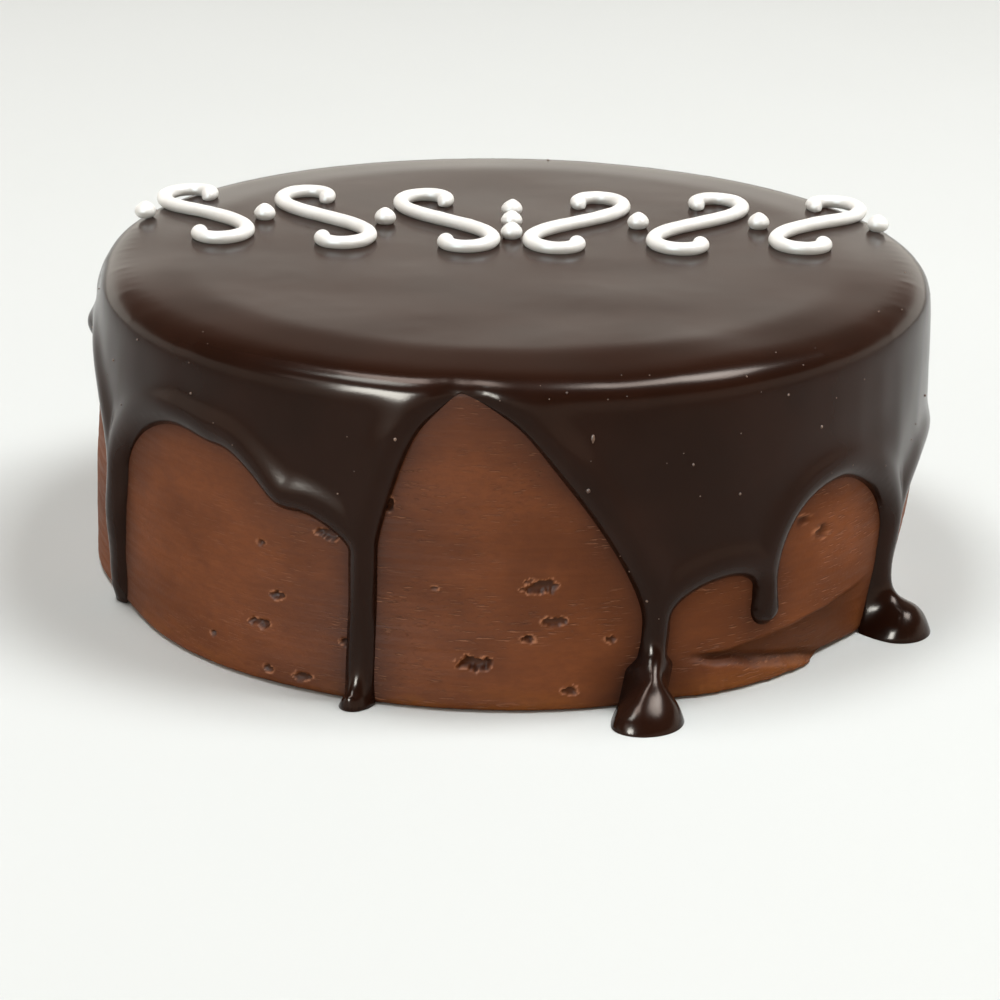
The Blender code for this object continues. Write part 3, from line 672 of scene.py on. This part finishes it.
def on_disc(points):
    """The glaze laid flat on a disc: s is the distance from its middle."""
    azimuth = points[:, 0] / CAKE_RADIUS
    return np.stack([points[:, 1] * np.sin(azimuth), -points[:, 1] * np.cos(azimuth)], axis=1)


def inside_polygon(points, polygon):
    """Which points lie inside a closed polygon, by crossings."""
    order = np.argsort(points[:, 1])
    height, across = points[order, 1], points[order, 0]
    inside = np.zeros(len(points), bool)
    for (x0, y0), (x1, y1) in zip(polygon, np.roll(polygon, -1, axis=0)):
        if y0 == y1:
            continue
        low, high = np.searchsorted(height, sorted((y0, y1)), side="right")
        at = x0 + (height[low:high] - y0) * (x1 - x0) / (y1 - y0)
        inside[low:high] ^= across[low:high] < at
    found = np.empty(len(points), bool)
    found[order] = inside
    return found


def inset_points(edge, inset, distance_to_edge):
    """The edge moved inwards, without the points that come too near another part."""
    ahead = np.roll(edge, -1, axis=0) - np.roll(edge, 1, axis=0)
    ahead[:, 0] = wrapped(ahead[:, 0])
    ahead /= np.linalg.norm(ahead, axis=1)[:, None]
    inward = np.stack([ahead[:, 1], -ahead[:, 0]], axis=1)
    moved = edge + inset * inward
    return moved[distance_to_edge(moved) > INSET_SHARE * inset]


def triangulate(edge, inner):
    """Triangles over the edge and inner points, whose numbering is kept."""
    flat = np.vstack([on_disc(edge), on_disc(inner)])
    count = len(edge)
    border = [(i, (i + 1) % count) for i in range(count)]
    made = delaunay_2d_cdt([Vector(p) for p in flat], border, [list(range(count))], 1, 1e-7)
    faces, sources = made[2], made[3]
    number = [source[0] for source in sources]
    return [tuple(number[v] for v in face) for face in faces]


def glaze_relief(points, flat_points):
    """Slow waves left by pouring, flow marks down the side and faint ripples."""
    s = flat_points[:, 1]
    on_side = smooth_step((s - FLAT) / (15 * MM))
    waves = 0.13 * MM * noise_at(points, [38 * MM, 26 * MM, 30 * MM], 2.2)
    flow = 0.16 * MM * on_side * noise_at(points, [9 * MM, 9 * MM, 60 * MM], 14.1)
    ripples = 0.015 * MM * noise_at(points, 6 * MM, 4.6)
    return waves + flow + ripples - WAVES_SHIFT


def relaxed(fixed, free, faces, share):
    """The free points after each has moved towards its neighbours again and again, by
    its share. Faces number the fixed points first."""
    corners = np.array(faces)
    pairs = np.vstack([corners[:, [0, 1]], corners[:, [1, 2]], corners[:, [2, 0]]])
    pairs = np.unique(np.sort(pairs, axis=1), axis=0)
    pairs = np.vstack([pairs, pairs[:, ::-1]])
    points = np.vstack([fixed, free])
    share = np.concatenate([np.zeros(len(fixed)), share])[:, None]
    count = np.bincount(pairs[:, 0], minlength=len(points))[:, None]
    for _ in range(RELAX_ROUNDS):
        total = np.stack([
            np.bincount(pairs[:, 0], points[pairs[:, 1], axis], len(points)) for axis in range(3)
        ], axis=1)
        points += RELAX_STEP * share * (total / count - points)
    return points[len(fixed):]


def glaze(finish):
    """The poured glaze: an outer face with rounded edges over a lining in the frosting."""
    edge = glaze_edge(EDGE_STEP)
    distance_to_edge = EdgeDistance(glaze_edge(EDGE_DETAIL))
    rows = [inset_points(edge, inset, distance_to_edge) for inset in INSETS]
    inner = ring_points(edge, distance_to_edge, INSETS[-1] + 0.6 * SIDE_STEP,
                        (TOP_STEP, SIDE_STEP), RIM_TURNS)
    outer = np.vstack([inner, *rows])
    lining = ring_points(edge, distance_to_edge, 0.5 * LINING_STEP,
                         (2 * LINING_STEP, LINING_STEP), RIM_TURNS[::3])
    distance = distance_to_edge(outer)
    thickness = glaze_thickness(outer, distance)
    relief = glaze_relief(glaze_points(outer, thickness, 1), outer)
    thickness += relief * smooth_step(distance / WAVES_INSET)
    edge_top = glaze_points(edge, np.full(len(edge), EDGE_LIFT), 0)
    outer_top = glaze_points(outer, thickness, smooth_step(distance / EDGE_ROUND))
    outer_faces = triangulate(edge, outer)
    low = smooth_step((outer[:, 1] - SIDE_END + RELAX_ABOVE) / RELAX_ABOVE)
    at_rim = hump((outer[:, 1] - 0.5 * (FLAT + RIM_END)) / RELAX_RIM)
    at_neck = hump((outer[:, 1] - SIDE_END + NECK_RISE) / NECK_REACH)
    share = RELAX_LOW * low + RELAX_NECK * at_neck + at_rim
    outer_top = relaxed(edge_top, outer_top, outer_faces, share)
    edge_base = glaze_points(edge, np.full(len(edge), -SEAT), 0)
    lining_base = glaze_points(lining, np.full(len(lining), -SEAT), 0)

    points = np.vstack([edge_top, outer_top, edge_base, lining_base])
    count, base = len(edge), len(edge) + len(outer)
    lining_faces = [tuple(v + base for v in reversed(f)) for f in triangulate(edge, lining)]
    border = [(i, base + i, base + (i + 1) % count, (i + 1) % count) for i in range(count)]
    faces = outer_faces + lining_faces + border
    return make_object("glaze", points, faces, finish, "ganache", "ganache_glaze")


def speck_ball():
    """Points and faces of a coarse ball of radius 1."""
    rows = np.linspace(-math.pi / 2, math.pi / 2, SPECK_ROWS + 2)[1:-1]
    turns = np.arange(SPECK_SIDES) * 2 * math.pi / SPECK_SIDES
    ball = [(math.cos(t) * math.cos(a), math.cos(t) * math.sin(a), math.sin(t))
            for t in rows for a in turns]
    bottom, top = len(ball), len(ball) + 1
    faces = grid_faces(SPECK_ROWS, SPECK_SIDES)
    around_it = [(i, (i + 1) % SPECK_SIDES) for i in range(SPECK_SIDES)]
    last_row = bottom - SPECK_SIDES
    faces += [(bottom, j, i) for i, j in around_it]
    faces += [(top, last_row + i, last_row + j) for i, j in around_it]
    return np.array(ball + [(0, 0, -1), (0, 0, 1)]), faces


def specks(glazed, finish):
    """Crumbs and tiny bubbles on the glaze, as one piece."""
    mesh = glazed.data
    places = np.empty(3 * len(mesh.vertices))
    normals = np.empty(3 * len(mesh.vertices))
    mesh.vertices.foreach_get("co", places)
    mesh.vertices.foreach_get("normal", normals)
    places, normals = places.reshape(-1, 3), normals.reshape(-1, 3)
    outer = np.linalg.norm(places[:, :2], axis=1) > 0.93 * CAKE_RADIUS
    outer &= np.einsum("ij,ij->i", normals, places * (1, 1, 0) / CAKE_RADIUS + (0, 0, 0.5)) > 0.3
    outer &= places[:, 2] > SPECK_LOWEST
    draw = np.random.RandomState(SPECK_SEED)
    chosen = draw.choice(np.flatnonzero(outer), SPECK_COUNT, replace=False)
    sizes = SPECK_SIZE[0] + (SPECK_SIZE[1] - SPECK_SIZE[0]) * draw.rand(SPECK_COUNT) ** 3
    lumps = [(number, (size, size, size)) for number, size in zip(chosen, sizes)]
    for azimuth, height, width, tallness in CRUMBS:
        wanted = place(math.radians(azimuth), CAKE_RADIUS + GLAZE_SIDE, height * MM)
        nearest = int(np.argmin(np.linalg.norm(places - wanted, axis=1)))
        lumps.append((nearest, (0.5 * width * MM, 0.35 * width * MM, 0.5 * tallness * MM)))
    ball, ball_faces = speck_ball()
    points, faces = [], []
    for number, size in lumps:
        azimuth = math.atan2(places[number, 0], -places[number, 1])
        turn = np.array([[math.cos(azimuth), math.sin(azimuth), 0],
                         [-math.sin(azimuth), math.cos(azimuth), 0], [0, 0, 1]])
        uneven = 1 + 0.25 * (draw.rand(len(ball), 1) - 0.5)
        faces += [tuple(v + len(ball) * len(points) for v in face) for face in ball_faces]
        points.append(places[number] + (ball * uneven * size) @ turn)
    return make_object("specks", np.vstack(points), faces, finish, "buttercream")


# --- the piped icing ---


def scroll_path(side):
    """Centre points of an S-scroll round the origin: its bend grows towards both ends.
    The side is -1 or 1, for the left or the right half of the garland."""
    t = np.linspace(-1, 1, ROPE_STEPS + 1)
    heading = SCROLL_LEAN + SCROLL_CURL * np.abs(t) ** SCROLL_TIGHTEN
    step = SCROLL_LENGTH / (len(t) - 1)
    path = np.cumsum(np.stack([np.cos(heading), np.sin(heading)], axis=1), axis=0) * step
    path -= path.mean(axis=0)
    path[:, 0] *= side
    return path


def icing_base(x, y):
    """The height at which icing rests on the glaze, at a place on the top."""
    return CAKE_HEIGHT + GAP + GLAZE_TOP - rim_fall(np.hypot(x, y)) - ICING_SEAT


def piped_rope(path, seed):
    """A rope of icing along a flat path, settled on the glaze, whose ends taper to
    where the nozzle touched down and lifted off."""
    ahead = np.gradient(path, axis=0)
    ahead /= np.linalg.norm(ahead, axis=1)[:, None]
    aside = np.stack([-ahead[:, 1], ahead[:, 0]], axis=1)
    count = len(path)
    number = np.arange(count)
    from_end = np.minimum(number, number[::-1]) * SCROLL_LENGTH / count
    inwards = np.clip(from_end / ROPE_END, 0.02, 1)
    taper = np.sqrt(inwards * (2 - inwards))
    space = np.column_stack([path, np.zeros(count)])
    uneven = 1 + 0.05 * noise_at(space, 9 * MM, seed) + 0.03 * noise_at(space, 3 * MM, seed + 5)
    girth = ROPE_RADIUS * taper * uneven
    turns = (np.arange(ROPE_SIDES) + 0.5) * 2 * math.pi / ROPE_SIDES
    across = girth[:, None] * np.cos(turns)
    up = girth[:, None] * np.maximum(np.sin(turns), ROPE_SINK - 1)
    up += (ROPE_RADIUS * (1 - ROPE_SINK) * (0.4 + 0.6 * taper))[:, None]
    rounds = path[:, None] + aside[:, None] * across[..., None]
    heights = icing_base(*path.T)[:, None] + ROPE_SQUASH * up
    points = np.dstack([rounds, heights]).reshape(-1, 3)
    return points, tube_faces(count, ROPE_SIDES)


def garland_y(x):
    """The line across the top that the piping follows."""
    reach = SCROLL_PITCH * SCROLLS_A_SIDE
    return GARLAND_Y - GARLAND_SAG * (1 - (x / reach) ** 2)


def garland_place(k, side):
    """A place on the garland, k pitches from its middle."""
    x = side * (SCROLL_PARTING + SCROLL_PITCH * k)
    return np.array([x, garland_y(x)])


def pearl(centre):
    """A small drop of icing with a soft peak."""
    x, y = centre
    around_it = np.arange(PEARL_SIDES) * 2 * math.pi / PEARL_SIDES
    lean = PEARL_PEAK * noise.noise(Vector((x, y, 0)) / (7 * MM))
    points = []
    for turn in np.linspace(PEARL_FROM, PEARL_TO, PEARL_ROWS):
        above = max(math.sin(turn), 0)
        radius = PEARL_RADIUS * math.cos(turn) * (1 - 0.1 * above)
        height = PEARL_RADIUS * PEARL_SQUASH * (math.sin(turn) - math.sin(PEARL_FROM))
        height += icing_base(x, y) + PEARL_PEAK * above ** 8
        points += [
            (x + radius * math.cos(a) + lean * above, y + radius * math.sin(a), height)
            for a in around_it
        ]
    return points, tube_faces(PEARL_ROWS, PEARL_SIDES)


def piped_icing(finish):
    """Mirrored S-scrolls on either side of the middle, with pearls between them."""
    pearls = [np.array([0, garland_y(0) + row * PEARL_ROW]) for row in (-1, 0, 1)]
    for side in (-1, 1):
        for k in range(SCROLLS_A_SIDE):
            path = scroll_path(side) + garland_place(k + 0.5, side)
            number = k + 1 if side > 0 else k + 1 + SCROLLS_A_SIDE
            points, faces = piped_rope(path, 10.0 * number)
            node = f"icing_scroll_{number}"
            make_object(f"scroll_{number}", points, faces, finish, "icing", node)
            pearls.append(garland_place(k + 1, side))
    for k, centre in enumerate(pearls):
        points, faces = pearl(centre)
        make_object(f"pearl_{k + 1}", points, faces, finish, "icing", f"icing_pearl_{k + 1}")


# --- materials ---

# Colours in linear light. Where there are two, the material varies between them.
FROSTING_COLOURS = (0.138, 0.0370, 0.0074), (0.200, 0.0560, 0.0128)
STREAK_COLOUR = 0.230, 0.072, 0.024
FOOT_COLOUR = 0.215, 0.064, 0.010
MOTTLE_COLOUR = 0.085, 0.025, 0.0080
STAIN_AND_SHADE_COLOUR = 0.060, 0.018, 0.0065     # beside the glaze: a soak stain, and painted shade under the glaze's edge
TEAR_SHADE_COLOUR = 0.045, 0.015, 0.006     # painted shade in the small tears' hollows
DASH_HIGHLIGHT_COLOUR = 0.44, 0.185, 0.090        # painted highlight on their pale edges
LIP_HIGHLIGHT_COLOUR = 0.46, 0.190, 0.090        # painted highlight on the pits' torn lips
# painted shade in the pits, darkest under their upper edges, and in the fold's hollow and crevice
PIT_SHADE_COLOUR = 0.040, 0.014, 0.0050
GLAZE_COLOURS = (0.0130, 0.0042, 0.0020), (0.0170, 0.0056, 0.0028)
CRUMB_COLOURS = (0.085, 0.038, 0.020), (0.21, 0.125, 0.080)
ICING_COLOURS = (0.80, 0.80, 0.77), (0.76, 0.755, 0.72)
FLOOR_COLOURS = (0.605, 0.635, 0.625), (0.625, 0.655, 0.645)


class Nodes:
    """Builds a tree of shader nodes."""

    def __init__(self, tree):
        self.tree = tree

    def link(self, source, target):
        self.tree.links.new(source, target)

    def node(self, kind, **values):
        made = self.tree.nodes.new(kind)
        for key, value in values.items():
            setattr(made, key, value)
        return made

    def along(self, position, axis):
        """One of a position's coordinates."""
        split = self.node("ShaderNodeSeparateXYZ")
        self.link(position, split.inputs["Vector"])
        return split.outputs[axis]

    def ramp(self, value, start, end, near=0.0, far=1.0):
        """Eases from near to far while a value goes from start to end."""
        made = self.node("ShaderNodeMapRange", interpolation_type="SMOOTHSTEP")
        for socket, number in zip(("From Min", "From Max", "To Min", "To Max"),
                                  (start, end, near, far)):
            made.inputs[socket].default_value = number
        self.link(value, made.inputs["Value"])
        return made.outputs["Result"]

    def combined(self, operation, one, other):
        """A sum or product of two values, each a number or a socket."""
        made = self.node("ShaderNodeMath", operation=operation)
        for source, socket in ((one, made.inputs[0]), (other, made.inputs[1])):
            if isinstance(source, (int, float)):
                socket.default_value = source
            else:
                self.link(source, socket)
        return made.outputs["Value"]

    def times(self, one, other):
        return self.combined("MULTIPLY", one, other)

    def mix(self, share, one, other):
        """One colour fading into another, each a colour or a socket."""
        made = self.node("ShaderNodeMix", data_type="RGBA")
        self.link(share, made.inputs["Factor"])
        inputs = [s for s in made.inputs if s.type == "RGBA"]
        for source, socket in zip((one, other), inputs):
            if isinstance(source, tuple):
                socket.default_value = (*source, 1)
            else:
                self.link(source, socket)
        return [s for s in made.outputs if s.type == "RGBA"][0]


class Finish(Nodes):
    """A procedural material, built node by node on object coordinates."""

    def __init__(self, name, **settings):
        self.material = bpy.data.materials.new(name)
        self.material.use_nodes = True
        super().__init__(self.material.node_tree)
        self.shader = self.tree.nodes["Principled BSDF"]
        self.where = self.node("ShaderNodeTexCoord").outputs["Object"]
        for socket, value in settings.items():
            self.shader.inputs[socket.replace("_", " ")].default_value = value

    def fed(self, **sources):
        """The material, after sockets are linked to its shader's."""
        for socket, source in sources.items():
            self.link(source, self.shader.inputs[socket.replace("_", " ")])
        return self.material

    def noise(self, grain, detail=2.0, rough=0.5, shift=0.0):
        """Noise whose grain is given in metres and whose shift in grains, each as one
        number or one for each axis."""
        stretch = self.node("ShaderNodeMapping")
        grains = np.broadcast_to(grain, 3)
        stretch.inputs["Scale"].default_value = [1 / g for g in grains]
        stretch.inputs["Location"].default_value = np.broadcast_to(shift, 3)
        self.link(self.where, stretch.inputs["Vector"])
        made = self.node("ShaderNodeTexNoise")
        for socket, number in (("Scale", 1.0), ("Detail", detail), ("Roughness", rough)):
            made.inputs[socket].default_value = number
        self.link(stretch.outputs["Vector"], made.inputs["Vector"])
        return made.outputs["Fac"]

    def bump(self, height, distance, below=None):
        made = self.node("ShaderNodeBump")
        made.inputs["Distance"].default_value = distance
        made.inputs["Strength"].default_value = 1.0
        self.link(height, made.inputs["Height"])
        if below is not None:
            self.link(below, made.inputs["Normal"])
        return made.outputs["Normal"]

    def attribute(self, name):
        return self.node("ShaderNodeAttribute", attribute_name=name).outputs["Fac"]


def buttercream():
    finish = Finish("milk chocolate buttercream", Roughness=0.6, Specular_IOR_Level=0.11)
    patches = finish.ramp(finish.noise([28 * MM, 28 * MM, 16 * MM], 3, 0.55), 0.35, 0.68)
    colour = finish.mix(patches, *FROSTING_COLOURS)
    streaks = finish.ramp(finish.noise([26 * MM, 26 * MM, 1.1 * MM], 3, 0.6, 4), 0.42, 0.75)
    colour = finish.mix(finish.times(streaks, 0.14), colour, STREAK_COLOUR)
    foot = finish.ramp(finish.along(finish.where, "Z"), 9 * MM, 1 * MM)
    uneven = finish.ramp(finish.noise([16 * MM, 16 * MM, 9 * MM], 2, 0.5, 9), 0.4, 0.62)
    colour = finish.mix(finish.times(foot, uneven), colour, FOOT_COLOUR)
    mottled = finish.ramp(finish.noise([3 * MM, 3 * MM, 1.2 * MM], 4, 0.7, 15), 0.60, 0.38)
    colour = finish.mix(finish.times(mottled, 0.2), colour, MOTTLE_COLOUR)
    # Darker beside the glaze: a soak stain, and painted shade under the glaze's thick edge
    colour = finish.mix(finish.times(finish.attribute("stain_and_shade"), 0.75), colour, STAIN_AND_SHADE_COLOUR)
    # Small horizontal tears, fewest at the left, with painted shade in a hollow above a pale edge
    # that has a painted highlight
    scattered = finish.ramp(finish.noise([20 * MM, 20 * MM, 14 * MM], 1, 0.5, 12), 0.44, 0.60)
    at_left = finish.ramp(finish.along(finish.where, "X"), -75 * MM, -25 * MM, 0.2, 1)
    scattered = finish.times(scattered, at_left)
    tear = [4.6 * MM, 4.6 * MM, 0.36 * MM]
    tear_shade = finish.ramp(finish.noise(tear, 3, 0.55, (7, 7, 6.1)), 0.60, 0.66)
    tear_shade = finish.times(finish.times(tear_shade, scattered), 0.45)
    colour = finish.mix(tear_shade, colour, TEAR_SHADE_COLOUR)
    # Painted highlight on the tears' pale edges; the same dashes also raise them in the bump
    # below
    dashes = finish.times(finish.ramp(finish.noise(tear, 3, 0.55, 7), 0.60, 0.66), scattered)
    colour = finish.mix(finish.times(dashes, 0.5), colour, DASH_HIGHLIGHT_COLOUR)
    # Painted highlight on the pits' torn lips
    colour = finish.mix(finish.attribute("torn"), colour, LIP_HIGHLIGHT_COLOUR)
    # Painted shade in the pits and in the fold's hollow and crevice
    colour = finish.mix(finish.times(finish.attribute("pit"), 0.88), colour, PIT_SHADE_COLOUR)
    rough = finish.ramp(finish.noise([18 * MM, 18 * MM, 2 * MM], 3, 0.6, 2), 0.3, 0.7, 0.52, 0.68)
    marks = finish.bump(finish.noise([22 * MM, 22 * MM, 0.9 * MM], 4, 0.6, 6), 0.08 * MM)
    tears = finish.bump(dashes, 0.14 * MM, marks)
    grain = finish.bump(finish.noise(0.9 * MM, 3, 0.6, 3), 0.08 * MM, tears)
    return finish.fed(Base_Color=colour, Roughness=rough, Normal=grain)


def ganache():
    finish = Finish("dark chocolate glaze", Roughness=0.2, IOR=1.46, Specular_IOR_Level=0.18,
                    Specular_Tint=(1.0, 0.78, 0.67, 1))
    patches = finish.ramp(finish.noise(24 * MM, 2, 0.5), 0.35, 0.65)
    colour = finish.mix(patches, *GLAZE_COLOURS)
    rough = finish.ramp(finish.noise(40 * MM, 2, 0.5, 5), 0.3, 0.7, 0.18, 0.21)
    grain = finish.bump(finish.noise(0.7 * MM, 2, 0.5, 2), 0.01 * MM)
    return finish.fed(Base_Color=colour, Roughness=rough, Normal=grain)


def crumb():
    finish = Finish("crumb in the glaze", Roughness=0.5, Specular_IOR_Level=0.4)
    tone = finish.ramp(finish.noise(2.5 * MM, 2), 0.35, 0.65)
    grain = finish.bump(finish.noise(0.3 * MM, 2), 0.05 * MM)
    return finish.fed(Base_Color=finish.mix(tone, *CRUMB_COLOURS), Normal=grain)


def white_icing():
    finish = Finish("white icing", Roughness=0.42)
    tint = finish.ramp(finish.noise(5 * MM, 2), 0.35, 0.65)
    grain = finish.bump(finish.noise(1.2 * MM, 3), 0.05 * MM)
    return finish.fed(Base_Color=finish.mix(tint, *ICING_COLOURS), Normal=grain)


def pale_floor():
    finish = Finish("pale floor", Roughness=0.9, Specular_IOR_Level=0.1)
    return finish.fed(Base_Color=finish.mix(finish.noise(0.25, 2), *FLOOR_COLOURS))


# --- the studio ---


def floor():
    mesh = bpy.data.meshes.new("floor")
    corners = [(x * FLOOR_HALF, y * FLOOR_HALF, FLOOR_HEIGHT)
               for x, y in ((-1, -1), (1, -1), (1, 1), (-1, 1))]
    mesh.from_pydata(corners, [], [(0, 1, 2, 3)])
    mesh.materials.append(pale_floor())
    made = bpy.data.objects.new("floor", mesh)
    bpy.context.scene.collection.objects.link(made)


def soft_light(name, azimuth, elevation, distance, size, watts, gleam_only=False):
    """A square light that faces the cake. It may show in the gloss alone."""
    light = bpy.data.lights.new(name, "AREA")
    light.shape = "RECTANGLE"
    light.size, light.size_y = size
    light.energy = watts
    made = bpy.data.objects.new(name, light)
    azimuth, elevation = math.radians(azimuth), math.radians(elevation)
    towards = Vector(place(azimuth, math.cos(elevation), math.sin(elevation)))
    aim = Vector((0, 0, 0.5 * CAKE_HEIGHT))
    made.location = aim + towards * distance
    made.rotation_euler = (-towards).to_track_quat("-Z", "Y").to_euler()
    made.visible_camera = False
    if gleam_only:
        light.color = GLEAM_COLOUR
        made.visible_diffuse = False
    bpy.context.scene.collection.objects.link(made)


def surroundings():
    """A pale room, bright low down, dim above that and dark overhead."""
    world = bpy.data.worlds.new("studio")
    world.use_nodes = True
    nodes = Nodes(world.node_tree)
    direction = nodes.node("ShaderNodeTexCoord").outputs["Generated"]
    up, backwards = nodes.along(direction, "Z"), nodes.along(direction, "Y")
    walls = nodes.ramp(up, *WALL_TOP, 1, 0)
    lit = nodes.times(walls, nodes.ramp(backwards, *WALL_BACK, *WALL_LIGHT))
    ceiling = nodes.ramp(up, *CEILING_START, DIM_LIGHT, CEILING_LIGHT)
    background = nodes.tree.nodes["Background"]
    nodes.link(nodes.mix(walls, DIM_COLOUR, WALL_COLOUR), background.inputs["Color"])
    nodes.link(nodes.combined("ADD", lit, ceiling), background.inputs["Strength"])
    bpy.context.scene.world = world


def lights():
    surroundings()
    soft_light("overhead left", -90, 76, 2.1, (0.8, 0.6), 26)
    soft_light("overhead right", 90, 64, 2.2, (0.8, 1.0), 42)
    soft_light("left window", -55, 31, 1.4, (0.26, 0.3), 0.7)
    soft_light("left gleam", -60, 62, 2.1, (0.5, 0.5), 26, True)
    soft_light("right gleam", 90, 64, 2.2, (0.6, 0.8), 110, True)
    soft_light("window gleam", -33, 25, 1.4, (0.44, 0.46), 54, True)


def camera():
    forward = Vector((0, math.cos(CAMERA_ELEVATION), -math.sin(CAMERA_ELEVATION)))
    level = Vector((1, 0, 0))
    upward = level.cross(forward)
    turn, lift = math.cos(CAMERA_ROLL), math.sin(CAMERA_ROLL)
    right = turn * level + lift * upward
    up = turn * upward - lift * level
    eye = CAMERA_TARGET - CAMERA_DISTANCE * forward
    lens = bpy.data.cameras.new("camera")
    lens.lens = CAMERA_LENS
    lens.sensor_width = CAMERA_SENSOR
    made = bpy.data.objects.new("camera", lens)
    axes = Matrix((right, up, -forward)).transposed().to_4x4()
    made.matrix_world = Matrix.Translation(eye) @ axes
    bpy.context.scene.collection.objects.link(made)
    bpy.context.scene.camera = made


bpy.context.scene.view_settings.view_transform = "Standard"
camera()
frosting(buttercream())
specks(glaze(ganache()), crumb())
piped_icing(white_icing())
floor()
lights()
